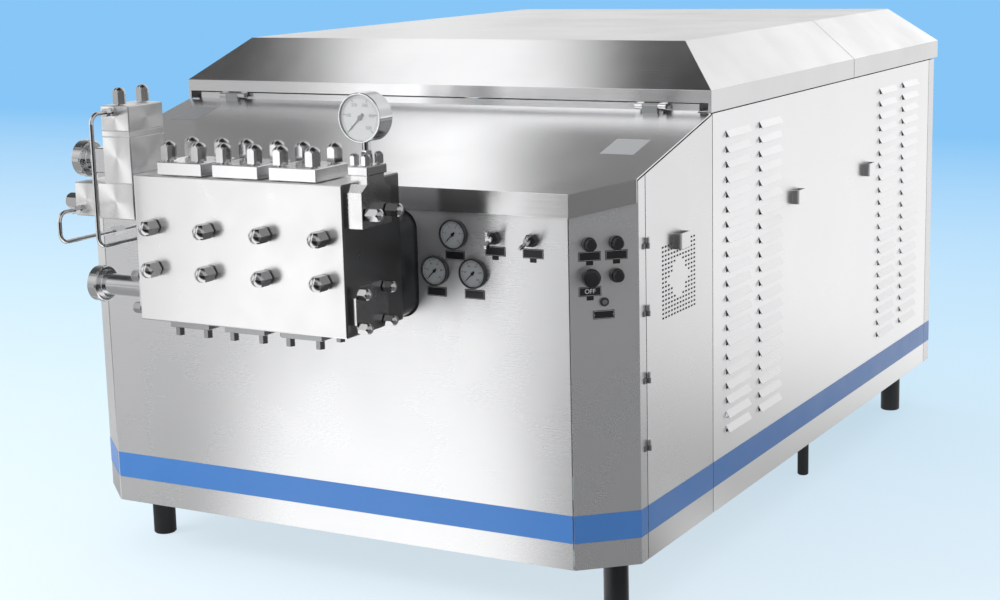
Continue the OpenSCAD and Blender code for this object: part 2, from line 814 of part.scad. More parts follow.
module block_pointer() color(black) block_gauge_at() rotate(pointer_rest)
    gauge_pointer(0.38 * block_gauge_dia, block_gauge_t / 2);

// Wing valves: a bonnet through the panel and a two-winged handle on its spindle
bonnet_out = 20;
bonnet_af = 27;
collar_dia = 18;
spindle_dia = 9;
wing_span = 42;
wing_h = 24;
wing_t = 6;

module valve_stems() color(bright) for (x = wing_x) place(x, 0, wing_z) to_front() difference() {
    union() {
        translate([0, 0, -30]) cylinder(d = 20, h = 30);
        hex_head(bonnet_af, bonnet_out - 4);
        cylinder(d = collar_dia, h = bonnet_out);
    }
    translate([0, 0, -2]) cylinder(d = spindle_dia + 2 * run, h = bonnet_out + 4);
}

module wing_handle(turn) {
    base = bonnet_out + free;
    tip = wing_span / 2;
    ear = wing_h / 2;
    root = 2;
    cylinder(d = spindle_dia, h = base + 1);
    translate([0, 0, base]) cylinder(d = collar_dia - 2, h = ear);
    rotate(turn) rotate([90, 0, 0]) translate([0, base, -wing_t / 2]) linear_extrude(wing_t) {
        polygon([[-wing_t, root], [wing_t, root], [tip - 2, wing_h - ear], [tip - ear + 3, wing_h - 3], [0, ear - 2],
            [ear - tip - 3, wing_h - 3], [2 - tip, wing_h - ear]]);
        for (s = [-1, 1]) translate([s * (tip - ear / 2), wing_h - ear / 2]) circle(d = ear);
    }
}

module wing_handle_left() color(black) place(wing_x[0], 0, wing_z) to_front() wing_handle(84);

module wing_handle_right() color(black) place(wing_x[1], 0, wing_z) to_front() wing_handle(50);

// Push buttons: a bezel through the corner panel and a cap that slides in it
bezel_h = 13;
button_stem = 10;
recess = 7;
cap_dia = bezel_dia - 6;
cap_out = 28;

module bezel() {
    difference() {
        union() {
            rotate_extrude() polygon([[0, 0], [bezel_dia / 2, 0], [bezel_dia / 2, bezel_h - 2],
                [bezel_dia / 2 - 2, bezel_h], [0, bezel_h]]);
            translate([0, 0, -30]) cylinder(d = 22, h = 30);
        }
        translate([0, 0, bezel_h - recess]) cylinder(d = cap_dia + 2 * free, h = recess + 1);
        translate([0, 0, -20]) cylinder(d = button_stem + 2 * run, h = bezel_h + 30);
    }
}

module button_at(i) {
    on_corner(button_u[i], button_z[i]) to_front() children();
}

module button_bezels() color(dark) {
    for (i = [0:3]) button_at(i) bezel();
    on_corner(key_u, key_z) to_front() difference() {
        union() {
            translate([0, 0, -25]) cylinder(d = 16, h = 25);
            cylinder(d = 20, h = 5);
        }
        translate([0, 0, -10]) cylinder(d = 11 + 2 * run, h = 20);
    }
}

module push_button() {
    bottom = bezel_h - recess + button_travel + free;
    translate([0, 0, -10]) cylinder(d = button_stem, h = bottom + 10);
    translate([0, 0, bottom]) rotate_extrude() polygon([[0, 0], [cap_dia / 2, 0],
        [cap_dia / 2, cap_out - bottom - 2.5], [cap_dia / 2 - 2.5, cap_out - bottom], [0, cap_out - bottom]]);
}

module stop_head() {
    bottom = bezel_h + button_travel + 1;
    translate([0, 0, -10]) cylinder(d = button_stem, h = bottom + 10);
    translate([0, 0, bottom]) rotate_extrude() polygon([[0, 0], [stop_dia / 2 - 2, 0], [stop_dia / 2, 3],
        [stop_dia / 2, 9], [stop_dia / 2 - 2, 12], [stop_dia / 2 - 7, 14], [0, 15]]);
}

module start_button() color(black) button_at(0) push_button();

module jog_button() color(black) button_at(1) push_button();

module reset_button() color(black) button_at(2) push_button();

module stop_button() color(black) button_at(3) stop_head();

module key_rotor() color(bright) on_corner(key_u, key_z) to_front() difference() {
    translate([0, 0, -8]) cylinder(d = 11, h = 15);
    translate([-1, -4, 3]) cube([2, 8, 5]);
}

// Pump block with bores for the plungers and the tie studs
module pump_block() color(bright) difference() {
    chamfer_box([-block_x, block_x], [block_d0, block_d1], [block_z0, block_top], 3);
    for (x = plunger_x) place(x, block_d1 - block_d + 40, axis_z) to_back() cylinder(d = plunger_dia + 8, h = block_d);
    for (x = stud_x, s = [-1, 1]) place(x, block_d0 - 1, axis_z + s * stud_rows / 2) to_back()
        cylinder(d = stud_dia + 2 * fit, h = block_d + 2);
}

module tie_studs() color(steel) for (x = stud_x, s = [-1, 1]) place(x, block_d0, axis_z + s * stud_rows / 2) to_back()
    cylinder(d = stud_dia, h = case_d[0] - block_d0 + 38);

// Cap nuts of the block, its covers, its flanges, the gauge mount and the head
small_af = 24;
small_h = 31;
head_af = 27;
cap_nut_d = 41;
head_h = 41;
stem_af = 19;
stem_h = 28;
mount_nut_d = [block_d0 + 32, block_d0 + 113];
mount_nut_z = block_top - 65;
stem_nut_x = 14;
stem_nut_d = 27;

module cap_nuts() color(bright) {
    for (x = stud_x, s = [-1, 1]) place(x, block_d0, axis_z + s * stud_rows / 2) to_front() cap_nut(nut_af, nut_h);
    for (x = plunger_x, sx = [-1, 1], sd = [-1, 1]) place(x + sx * cover_nut, cover_d + sd * cover_nut, cover_top)
        cap_nut(nut_af, nut_h);
    for (sd = [-1, 1], sz = [-1, 1]) {
        d = manifold_d + sd * flange_nut_d;
        z = manifold_z + sz * flange_nut_z;
        place(block_x + flange_t, d, z) to_right() rotate(30) cap_nut(small_af, small_h);
        place(-block_x - flange_t, d, z) to_left() rotate(30) cap_nut(small_af, small_h);
    }
    for (d = mount_nut_d) place(mount_x, d, mount_nut_z) to_right() rotate(30) cap_nut(head_af, head_h);
    for (sx = [-1, 1], sd = [-1, 1])
        place(gauge_x + sx * stem_nut_x, mount_plate_d + sd * stem_nut_d, mount_plate_z + mount_plate_t)
            cap_nut(stem_af, stem_h);
    for (s = [-1, 1]) place(stage_x - stage_w / 2, stage_mid_d + s * cap_nut_d, cap_z + cap_h) cap_nut(head_af, head_h);
    place(second_end, stage_d0 + 26, stage_z - 50) to_left() cap_nut(nut_af, nut_h);
}

// Valve covers on top of the block, each on a gasket ring
module valve_covers() color(bright) for (x = plunger_x) {
    chamfer_box([x - cover_w / 2, x + cover_w / 2], [cover_d - cover_w / 2, cover_d + cover_w / 2],
        [block_top + cover_gap, cover_top], 2);
    place(x, cover_d, block_top) cylinder(d = cover_w - 22, h = cover_gap);
}

// Suction covers under the block, with hexagon bolts
suction_t = 14;
suction_w = 112;
bolt_af = 19;
bolt_h = 20;
bolt_in = 16;

module suction_covers() color(bright) for (x = plunger_x)
    chamfer_box([x - suction_w / 2, x + suction_w / 2], [cover_d - suction_w / 2, cover_d + suction_w / 2],
        [block_z0 - suction_t, block_z0], 1.5);

module hex_bolts() color(steel) for (x = plunger_x, sx = [-1, 1], sd = [-1, 1])
    place(x + sx * (suction_w / 2 - bolt_in), cover_d + sd * (suction_w / 2 - bolt_in), block_z0 - suction_t - bolt_h)
        hex_head(bolt_af, bolt_h);

// Flanges at both ends of the suction manifold; the left one lets the inlet pipe through
module suction_flanges() color(bright) {
    d = [manifold_d - flange_d / 2, manifold_d + flange_d / 2];
    z = [manifold_z - flange_h / 2, manifold_z + flange_h / 2];
    from_side(block_x, block_x + flange_t) chamfer_rect(d, z, 22);
    from_side(-block_x - flange_t, -block_x) difference() {
        chamfer_rect(d, z, 22);
        translate([manifold_d, manifold_z]) circle(d = pipe_dia + 2 * fit);
    }
}

// Gauge mount: a waisted block on the right end of the pump block, with a plate on its neck
module gauge_mount() color(bright) {
    low = block_top - 95;
    wide = [block_d0 + 13, block_d0 + 130];
    neck = [block_d0 + 37, block_d0 + 105];
    shoulder = block_top - 17;
    rise = 15;
    from_side(block_x, mount_x) polygon([[wide[0], low], [wide[1], low], [wide[1], shoulder],
        [neck[1], shoulder + rise], [neck[1], mount_plate_z], [neck[0], mount_plate_z],
        [neck[0], shoulder + rise], [wide[0], shoulder]]);
    chamfer_box([gauge_x - mount_plate_w / 2, gauge_x + mount_plate_w / 2],
        [mount_plate_d - mount_plate_len / 2, mount_plate_d + mount_plate_len / 2],
        [mount_plate_z, mount_plate_z + mount_plate_t], 2);
}

// Homogenizing head: stage block, first stage with its cap, and second stage
module stage_block() color(bright)
    chamfer_box([second_x, stage_x], [stage_d0, stage_d0 + stage_d], [stage_z - stage_block_h, stage_z], 2);

module second_stage() color(bright)
    chamfer_box([second_end, second_x], [stage_d0 + second_in, stage_d0 + stage_d - 6],
        [stage_z - stage_block_h + 3, stage_z - 2], 2);

module first_stage() color(bright) {
    x = [stage_x - stage_w, stage_x];
    d = [stage_d0, stage_d0 + stage_d];
    chamfer_box(x, d, [stage_z, stage_z + stage_h], 2);
    chamfer_box(x, d, [stage_z + stage_h, cap_z], 1);
}

module first_stage_cap() color(bright)
    chamfer_box([stage_x - stage_w, stage_x], [stage_d0, stage_d0 + stage_d], [cap_z, cap_z + cap_h], 2);

// Product pipes end in round union nuts; drawn along +Z from the block outwards
module union_end(len) {
    nut_dia = union_dia;
    liner = pipe_dia + 14;
    difference() {
        union() {
            cylinder(d = pipe_dia, h = len);
            translate([0, 0, len - union_w - 6]) cylinder(d = liner, h = 8);
            translate([0, 0, len - union_w]) rotate_extrude() polygon([[0, 0], [nut_dia / 2 - 8, 0],
                [nut_dia / 2 - 8, 3], [nut_dia / 2 - 2, 3], [nut_dia / 2, 5], [nut_dia / 2, union_w - 2],
                [nut_dia / 2 - 2, union_w], [0, union_w]]);
            for (a = [0:45:315]) rotate(a) translate([nut_dia / 2 - 3, -4, len - union_w + 8])
                cube([4.5, 8, union_w - 14]);
        }
        translate([0, 0, -1]) cylinder(d = pipe_dia - 2 * pipe_wall, h = len + 2);
    }
}

outlet_len = 115;
inlet_len = 194;
boss_len = 54;
boss = 58;

module outlet_union() color(bright) {
    start = stage_x - stage_w;
    difference() {
        chamfer_box([start - boss_len, start], [stage_mid_d - boss / 2, stage_mid_d + boss / 2],
            [outlet_z - boss / 2, outlet_z + boss / 2], 2);
        place(start + 1, stage_mid_d, outlet_z) to_left() cylinder(d = pipe_dia - 2 * pipe_wall, h = boss_len + 2);
    }
    place(start - boss_len, stage_mid_d, outlet_z) to_left() union_end(outlet_len - boss_len);
}

module inlet_union() color(bright) place(-block_x, manifold_d, manifold_z) to_left() union_end(inlet_len);

// Pressure tubes from the head's stages to the front panel, with their screwed fittings
tube_r = 22;
fitting_len = 32;
first_fitting = [stage_x - stage_w / 2 - 2, cap_z + cap_h - 13];
second_fitting = [second_x - second_w / 2 - 16, stage_z - 63];
first_drop = axis_z + 7;
second_drop = axis_z + 10;
inline_d = block_d1 - 127;
inline_len = 34;

function tube_ends() = [[first_fitting[0], 0, first_drop], [second_fitting[0], 0, second_drop]];

module fitting() {
    hex_head(19, 12);
    translate([0, 0, 12]) cylinder(d = 13, h = 6);
    translate([0, 0, 18]) hex_head(17, fitting_len - 18);
}

module panel_fitting() {
    hex_head(22, 8);
    translate([0, 0, 8]) cylinder(d = 14, h = 6);
    translate([0, 0, 14]) hex_head(19, 12);
}

module pressure_tube(start, face_d, drop_z) {
    front = fy(block_d0 - tube_out);
    bent_tube([[start[0], fy(face_d - fitting_len + 4), start[1]], [start[0], front, start[1]],
        [start[0], front, drop_z], [start[0], fy(wall + 20), drop_z]], tube_r, tube_dia);
    place(start[0], face_d, start[1]) to_front() fitting();
    place(start[0], 0, drop_z) to_front() panel_fitting();
}

module pressure_tubes() color(bright) {
    pressure_tube(first_fitting, stage_d0, first_drop);
    pressure_tube(second_fitting, stage_d0 + second_in, second_drop);
    place(second_fitting[0], inline_d, second_drop) to_back() hex_head(19, inline_len);
}

// Plunger housing: a rounded box between the crankcase and the pump block, open from end to end
module plunger_housing() color(dark) from_front(block_d1, housing_d1) difference() {
    round_rect([-housing_x, housing_x], housing_z, housing_r);
    round_rect([housing_wall - housing_x, housing_x - housing_wall],
        [housing_z[0] + housing_wall, housing_z[1] - housing_wall], housing_r - housing_wall);
    for (x = stud_x, s = [-1, 1]) translate([x, axis_z + s * stud_rows / 2]) circle(d = stud_dia + 2 * fit);
}

// Glands that seal the plungers at the back of the block
module plunger_glands() color(steel) for (x = plunger_x) place(x, block_d1, axis_z) to_back() difference() {
    union() {
        cylinder(d = gland_dia, h = 12);
        cylinder(d = gland_dia - 18, h = gland_len);
    }
    translate([0, 0, -1]) cylinder(d = plunger_dia + 2 * run, h = gland_len + 2);
}

// Plungers, each on its crosshead
module plunger(x) {
    tip = block_d0 + 62 + stroke / 2;
    place(x, tip, axis_z) to_back() cylinder(d = plunger_dia, h = crosshead_d - tip);
    place(x, crosshead_d, axis_z) to_back() cylinder(d = crosshead_dia - 2 * run, h = crosshead_len);
}

module plunger_left() color(bright) plunger(plunger_x[0]);

module plunger_middle() color(bright) plunger(plunger_x[1]);

module plunger_right() color(bright) plunger(plunger_x[2]);

// Crankcase: crosshead chamber in front and crank chamber behind, with bearing caps on its sides
bearing_dia = 210;
bearing_d = 560;
boss_dia = 170;
boss_out = 30;

module crankcase() color(iron) {
    x = case_w / 2;
    difference() {
        union() {
            chamfer_box([-x + 20, x - 20], [case_d[0], case_d[1]], [case_z0 + 80, case_top - 20], 12);
            chamfer_box([-x, x], [case_d[1], case_d[2]], [case_z0, case_top], 16);
            chamfer_box([-x, x], [case_d[0], case_d[1]], [case_z0, case_z0 + 80], 4);
            for (s = [0, 1]) mirror([s, 0, 0]) place(x, bearing_d, axis_z) to_right() cylinder(d = bearing_dia, h = 18);
            place(x, shaft_d, shaft_z) to_right() cylinder(d = boss_dia, h = boss_out);
        }
        for (px = plunger_x) place(px, case_d[0] - 1, axis_z) to_back()
            cylinder(d = crosshead_dia, h = crosshead_len + stroke + 30);
        for (px = stud_x, s = [-1, 1]) place(px, case_d[0] - 1, axis_z + s * stud_rows / 2) to_back()
            cylinder(d = stud_dia + 2 * fit, h = 41);
        place(x - 120, shaft_d, shaft_z) to_right() cylinder(d = shaft_dia + 2 * run, h = 120 + boss_out + 1);
    }
}

module crankcase_cover() color(iron) {
    x = case_w / 2 - 30;
    d = [case_d[1] + 30, case_d[2] - 30];
    chamfer_box([-x, x], d, [case_top, case_top + 14], 4);
    place(0, (d[0] + d[1]) / 2, case_top + 14) cylinder(d = 70, h = 22);
}

// Motor along X: finned frame, end shields, fan cowl, terminal box and feet
motor_x = [-420, 300];
cowl_len = 110;
foot_gap = 200;
foot_x = [-290, 190];
foot_w = 90;
foot_h = 110;
motor_flange_dia = 260;
box_x = [-60, 140];
box_w = 220;
rail_x = [-250, 150];
rail_w = 80;

module motor() color(iron) difference() {
    body_dia = motor_dia - 50;
    union() {
        place(motor_x[0] + cowl_len, motor_d, motor_z) to_right()
            cylinder(d = body_dia, h = motor_x[1] - motor_x[0] - cowl_len);
        place(motor_x[0], motor_d, motor_z) to_right() cylinder(d = motor_dia - 20, h = cowl_len);
        place(motor_x[1], motor_d, motor_z) to_right() cylinder(d = motor_flange_dia, h = 30);
        place(0, motor_d, motor_z) for (a = [15:15:345]) if (abs(a - 180) > 40) rotate([-a, 0, 0])
            translate([motor_x[0] + cowl_len + 30, -4, body_dia / 2 - 10])
                cube([motor_x[1] - motor_x[0] - cowl_len - 90, 8, (motor_dia - body_dia) / 2 + 10]);
        for (s = [-1, 1]) box(foot_x, [motor_d + s * foot_gap - foot_w / 2, motor_d + s * foot_gap + foot_w / 2],
            [motor_z - motor_axis_h, motor_z - motor_axis_h + foot_h]);
        box(box_x, [motor_d - box_w / 2, motor_d + box_w / 2],
            [motor_z + body_dia / 2 - 20, motor_z + motor_dia / 2 + foot_w]);
    }
    place(motor_x[1] - 150, motor_d, motor_z) to_right() cylinder(d = shaft_dia + 2 * run, h = 200);
}

module motor_rails() color(dark) for (x = rail_x)
    box([x - rail_w / 2, x + rail_w / 2], [cross_d[2], cross_d[3] + beam_w], [base_top, base_top + rail_h]);

// Pulleys with one groove a belt, each on its shaft along X
module grooved_pulley(dia, bore_x) {
    w = belt_x1 - belt_x0;
    floor_r = dia / 2 - belt_depth;
    rotate_extrude() union() {
        rect([0, floor_r], [0, w]);
        for (i = [0:belts]) {
            low = i == 0 ? 0 : 5 + (i - 0.5) * belt_pitch + belt_w / 2 + free;
            high = i == belts ? w : 5 + (i + 0.5) * belt_pitch - belt_w / 2 - free;
            rect([floor_r - 1, dia / 2], [low, high]);
        }
    }
}

module driven_pulley() color(dark) {
    start = case_w / 2 - 110;
    rim_in = driven_dia / 2 - belt_depth - 22;
    difference() {
        place(belt_x0, shaft_d, shaft_z) to_right() grooved_pulley(driven_dia, shaft_dia);
        for (x = [belt_x0 - 1, belt_x1 - 40]) place(x, shaft_d, shaft_z) to_right() difference() {
            cylinder(r = rim_in, h = 41);
            translate([0, 0, -1]) cylinder(d = 150, h = 43);
        }
    }
    place(start, shaft_d, shaft_z) to_right() cylinder(d = shaft_dia, h = belt_x1 + 10 - start);
}

module motor_pulley() color(dark) {
    start = motor_x[1] - 140;
    place(belt_x0, motor_d, motor_z) to_right() grooved_pulley(motor_pulley_dia, shaft_dia);
    place(start, motor_d, motor_z) to_right() cylinder(d = shaft_dia, h = belt_x1 + 10 - start);
}

// Banded belt: ribs in the grooves of both pulleys, joined by a cover layer on their backs
module belt_loop(r1, r2) {
    span = [motor_d - shaft_d, motor_z - shaft_z];
    c = norm(span);
    lean = asin((r1 - r2) / c);
    base = atan2(span[1], span[0]);
    p = [shaft_d, shaft_z];
    q = [motor_d, motor_z];
    up = base + 90 - lean;
    down = base - 90 + lean;
    translate(p) circle(r1);
    translate(q) circle(r2);
    polygon([p + r1 * [cos(up), sin(up)], p + r1 * [cos(down), sin(down)],
        q + r2 * [cos(down), sin(down)], q + r2 * [cos(up), sin(up)]]);
}

module belt_ring(x0, x1, outer, inner) {
    from_side(x0, x1) difference() {
        belt_loop(driven_dia / 2 + outer, motor_pulley_dia / 2 + outer);
        belt_loop(driven_dia / 2 + inner, motor_pulley_dia / 2 + inner);
    }
}

module drive_belts() color(black) {
    first = belt_x0 + 5 + belt_pitch / 2 - belt_w / 2;
    for (i = [0:belts - 1])
        belt_ring(first + i * belt_pitch, first + i * belt_pitch + belt_w, belt_proud, free - belt_depth);
    belt_ring(first, first + (belts - 1) * belt_pitch + belt_w, belt_proud + 3, belt_proud);
}

base_frame();
legs();
panel_frame();
front_panel();
control_panel();
left_corner_panel();
hood();
rear_panel();
hinges();
panel_gauges();
gauge_glasses();
block_gauge();
valve_stems();
button_bezels();
pump_block();
tie_studs();
cap_nuts();
hex_bolts();
valve_covers();
suction_covers();
suction_flanges();
gauge_mount();
stage_block();
second_stage();
first_stage();
first_stage_cap();
outlet_union();
inlet_union();
pressure_tubes();
plunger_housing();
plunger_glands();
crankcase();
crankcase_cover();
motor();
motor_rails();
drive_belts();
plunger_left();
plunger_middle();
plunger_right();
driven_pulley();
motor_pulley();
lid_front();
lid_rear();
right_door();
left_door();
right_side_panel();
left_side_panel();
pointer_top();
pointer_left();
pointer_right();
block_pointer();
wing_handle_left();
wing_handle_right();
start_button();
jog_button();
reset_button();
stop_button();
key_rotor();
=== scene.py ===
"""Dairy homogenizer in a studio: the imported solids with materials, plates, dials and the stripe."""
import math
import bpy
from mathutils import Matrix, Vector


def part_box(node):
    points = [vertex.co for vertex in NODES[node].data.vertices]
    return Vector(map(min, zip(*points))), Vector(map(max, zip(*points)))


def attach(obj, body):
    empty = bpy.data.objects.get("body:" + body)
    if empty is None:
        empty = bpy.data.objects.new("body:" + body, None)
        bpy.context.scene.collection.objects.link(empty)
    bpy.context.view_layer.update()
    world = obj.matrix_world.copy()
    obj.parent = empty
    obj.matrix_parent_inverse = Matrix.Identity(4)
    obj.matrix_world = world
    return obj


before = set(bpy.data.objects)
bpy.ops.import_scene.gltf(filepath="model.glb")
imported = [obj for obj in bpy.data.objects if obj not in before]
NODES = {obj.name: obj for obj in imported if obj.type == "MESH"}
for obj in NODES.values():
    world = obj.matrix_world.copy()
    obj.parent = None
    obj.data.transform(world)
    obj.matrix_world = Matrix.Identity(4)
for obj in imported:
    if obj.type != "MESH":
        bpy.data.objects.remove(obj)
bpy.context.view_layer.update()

MM = 0.001

# Places taken from the solids
PANEL_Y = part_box("front_panel")[0].y
HALF_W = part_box("rear_panel")[1].x
CORNER_W = 118 * MM
CORNER_D = 108 * MM
CORNER_X = HALF_W - CORNER_W
STRIP_D = 143 * MM
DOOR_D = (146 * MM, 530 * MM)
SIDE_D = (533 * MM, 2323 * MM)
REAR_D = (2326 * MM, 2380 * MM)
STRIPE_Z = (208.5 * MM, 274 * MM)


# Node helpers
def node(nt, kind, values=None, **props):
    n = nt.nodes.new(kind)
    for k, v in props.items():
        setattr(n, k, v)
    for k, v in (values or {}).items():
        n.inputs[k].default_value = v
    return n


def link(nt, a, b):
    nt.links.new(a, b)


def shader(name, color, rough, metal=0.0, **sockets):
    m = bpy.data.materials.new(name)
    m.use_nodes = True
    nt = m.node_tree
    nt.nodes.clear()
    out = node(nt, "ShaderNodeOutputMaterial")
    start = {"Base Color": (*color, 1), "Roughness": rough, "Metallic": metal}
    bsdf = node(nt, "ShaderNodeBsdfPrincipled", start)
    for k, v in sockets.items():
        bsdf.inputs[k.replace("_", " ")].default_value = v
    link(nt, bsdf.outputs["BSDF"], out.inputs["Surface"])
    return m, nt, bsdf


def coords(nt, scale=(1.0, 1.0, 1.0)):
    tc = node(nt, "ShaderNodeTexCoord")
    mp = node(nt, "ShaderNodeMapping", {"Scale": scale})
    link(nt, tc.outputs["Object"], mp.inputs["Vector"])
    return mp.outputs["Vector"]


def noise(nt, vec, scale, detail):
    n = node(nt, "ShaderNodeTexNoise", {"Scale": scale, "Detail": detail, "Roughness": 0.6})
    link(nt, vec, n.inputs["Vector"])
    return n.outputs["Fac"]


def spread(nt, fac, low, high):
    r = node(nt, "ShaderNodeMapRange", {"From Min": 0.3, "From Max": 0.7, "To Min": low, "To Max": high})
    link(nt, fac, r.inputs["Value"])
    return r.outputs["Result"]


def tint(nt, fac, a, b, target):
    mix = node(nt, "ShaderNodeMix", data_type="RGBA")
    mix.inputs["A"].default_value = (*a, 1)
    mix.inputs["B"].default_value = (*b, 1)
    link(nt, fac, mix.inputs["Factor"])
    link(nt, mix.outputs["Result"], target)


def bump(nt, height, strength, distance, normal=None):
    b = node(nt, "ShaderNodeBump", {"Strength": strength, "Distance": distance})
    link(nt, height, b.inputs["Height"])
    if normal is not None:
        link(nt, normal, b.inputs["Normal"])
    return b.outputs["Normal"]


def scaled(c, k):
    return tuple(min(1.0, v * k) for v in c)


def figure(nt, operation, a, b=0.0):
    """A math node; each input is a socket or a number."""
    m = node(nt, "ShaderNodeMath", operation=operation)
    for slot, value in zip(m.inputs, (a, b)):
        if isinstance(value, (int, float)):
            slot.default_value = value
        else:
            link(nt, value, slot)
    return m.outputs[0]


def smooth_range(nt, value, low, high, start, end):
    span = {"From Min": low, "From Max": high, "To Min": start, "To Max": end}
    r = node(nt, "ShaderNodeMapRange", span, interpolation_type="SMOOTHSTEP")
    link(nt, value, r.inputs["Value"])
    return r.outputs["Result"]


def sideways(nt):
    """1 on the faces that look along X, and 0 on the others."""
    tc = node(nt, "ShaderNodeTexCoord")
    sep = node(nt, "ShaderNodeSeparateXYZ")
    link(nt, tc.outputs["Normal"], sep.inputs[0])
    return figure(nt, "GREATER_THAN", figure(nt, "ABSOLUTE", sep.outputs["X"]), 0.7)


# Brushed stainless sheet: fine streaks along one axis that smear reflections across it, slightly wavy, and
# painted shade on the faces that look along X where a factor is given
GRAIN = 0.85
SOFT_EDGE = 0.0012
UNEVEN = 0.04
FINE_SHARE = 0.2
CLOUD_SHARE = 0.8


def brushed(name, color, rough, streak, metal=1.0, smear=(0.0, 0.95, 0.3), side_shade=1.0):
    m, nt, b = shader(name, color, rough, metal, Anisotropic=GRAIN)
    across = node(nt, "ShaderNodeCombineXYZ", {"X": smear[0], "Y": smear[1], "Z": smear[2]})
    link(nt, across.outputs["Vector"], b.inputs["Tangent"])
    fine = noise(nt, coords(nt, streak), 1.0, 2.0)
    cloud = noise(nt, coords(nt), 3.2, 3.0)
    swell = noise(nt, coords(nt), 1.7, 1.0)
    both = figure(nt, "MULTIPLY", fine, FINE_SHARE)
    both = figure(nt, "ADD", both, figure(nt, "MULTIPLY", cloud, CLOUD_SHARE))
    link(nt, spread(nt, both, rough - UNEVEN, rough + UNEVEN), b.inputs["Roughness"])
    # Painted shade: with a factor below 1, the faces that look along X get that share of the colour.
    if side_shade == 1.0:
        tint(nt, fine, scaled(color, 0.975), scaled(color, 1.015), b.inputs["Base Color"])
    else:
        tint(nt, sideways(nt), color, scaled(color, side_shade), b.inputs["Base Color"])
    bevel = node(nt, "ShaderNodeBevel", {"Radius": SOFT_EDGE}, samples=4)
    n = bump(nt, swell, 0.5, 0.0016, bevel.outputs["Normal"])
    n = bump(nt, fine, 0.03, 0.00010, n)
    link(nt, n, b.inputs["Normal"])
    return m


# Polished machined steel: faint milling marks and smudges, soft edges, and painted shade on the faces that
# look along X where a factor is given
def polished(name, color, rough, edge=SOFT_EDGE, marks=(30.0, 30.0, 900.0), vary=0.05, side_shade=1.0):
    m, nt, b = shader(name, color, rough, 1.0)
    mill = noise(nt, coords(nt, marks), 1.0, 2.0)
    smear = noise(nt, coords(nt), 14.0, 4.0)
    link(nt, spread(nt, smear, rough - vary, rough + vary), b.inputs["Roughness"])
    # Painted shade: with a factor below 1, the faces that look along X get that share of the colour.
    if side_shade == 1.0:
        tint(nt, smear, scaled(color, 0.95), scaled(color, 1.03), b.inputs["Base Color"])
    else:
        tint(nt, sideways(nt), color, scaled(color, side_shade), b.inputs["Base Color"])
    bevel = node(nt, "ShaderNodeBevel", {"Radius": edge}, samples=4)
    link(nt, bump(nt, mill, 0.1, 0.0001, bevel.outputs["Normal"]), b.inputs["Normal"])
    return m


# Face-turned steel: rings as left by a lathe, about X on the side faces and about Y on the others
RING_PITCH = 0.0011


def turned(name, color, rough, centre):
    m, nt, b = shader(name, color, rough, 1.0, Anisotropic=GRAIN)
    tc = node(nt, "ShaderNodeTexCoord")
    off = node(nt, "ShaderNodeVectorMath", operation="SUBTRACT")
    link(nt, tc.outputs["Object"], off.inputs[0])
    off.inputs[1].default_value = centre
    rings = []
    spokes = []
    for plane in ((1.0, 0.0, 1.0), (0.0, 1.0, 1.0)):
        flat = node(nt, "ShaderNodeVectorMath", operation="MULTIPLY")
        link(nt, off.outputs[0], flat.inputs[0])
        flat.inputs[1].default_value = plane
        dist = node(nt, "ShaderNodeVectorMath", operation="LENGTH")
        link(nt, flat.outputs[0], dist.inputs[0])
        rings.append(dist.outputs["Value"])
        spokes.append(flat.outputs[0])
    which = sideways(nt)
    spoke = node(nt, "ShaderNodeMix", data_type="VECTOR")
    link(nt, which, spoke.inputs["Factor"])
    link(nt, spokes[0], spoke.inputs[4])
    link(nt, spokes[1], spoke.inputs[5])
    link(nt, spoke.outputs[1], b.inputs["Tangent"])
    chosen = node(nt, "ShaderNodeMix", data_type="FLOAT")
    link(nt, which, chosen.inputs["Factor"])
    link(nt, rings[0], chosen.inputs["A"])
    link(nt, rings[1], chosen.inputs["B"])
    wave = figure(nt, "SINE", figure(nt, "MULTIPLY", chosen.outputs["Result"], 2 * math.pi / RING_PITCH))
    smear = noise(nt, coords(nt), 14.0, 4.0)
    link(nt, spread(nt, smear, rough - 0.03, rough + 0.06), b.inputs["Roughness"])
    tint(nt, smear, scaled(color, 0.95), scaled(color, 1.03), b.inputs["Base Color"])
    bevel = node(nt, "ShaderNodeBevel", {"Radius": SOFT_EDGE}, samples=4)
    link(nt, bump(nt, wave, 0.08, 0.0001, bevel.outputs["Normal"]), b.inputs["Normal"])
    return m


# Paint, plastic and rubber: a grained coat with cloudy colour and uneven gloss
def coated(name, color, rough, grain=350.0, depth=0.00006, vary=0.12, metal=0.0, coat=0.0):
    m, nt, b = shader(name, color, rough, metal)
    if coat:
        b.inputs["Coat Weight"].default_value = coat
        b.inputs["Coat Roughness"].default_value = 0.12
    fine = noise(nt, coords(nt), grain, 2.0)
    cloud = noise(nt, coords(nt), 9.0, 4.0)
    link(nt, spread(nt, cloud, rough - 0.05, rough + 0.08), b.inputs["Roughness"])
    tint(nt, cloud, scaled(color, 1 - vary), scaled(color, 1 + vary), b.inputs["Base Color"])
    bevel = node(nt, "ShaderNodeBevel", {"Radius": 0.0008}, samples=4)
    link(nt, bump(nt, fine, 0.35, depth, bevel.outputs["Normal"]), b.inputs["Normal"])
    return m


def clear_glass(name):
    m, nt, b = shader(name, (0.97, 0.98, 0.99), 0.03)
    b.inputs["Transmission Weight"].default_value = 1.0
    b.inputs["IOR"].default_value = 1.08
    b.inputs["Alpha"].default_value = 0.25
    smear = noise(nt, coords(nt), 60.0, 3.0)
    link(nt, spread(nt, smear, 0.02, 0.07), b.inputs["Roughness"])
    return m


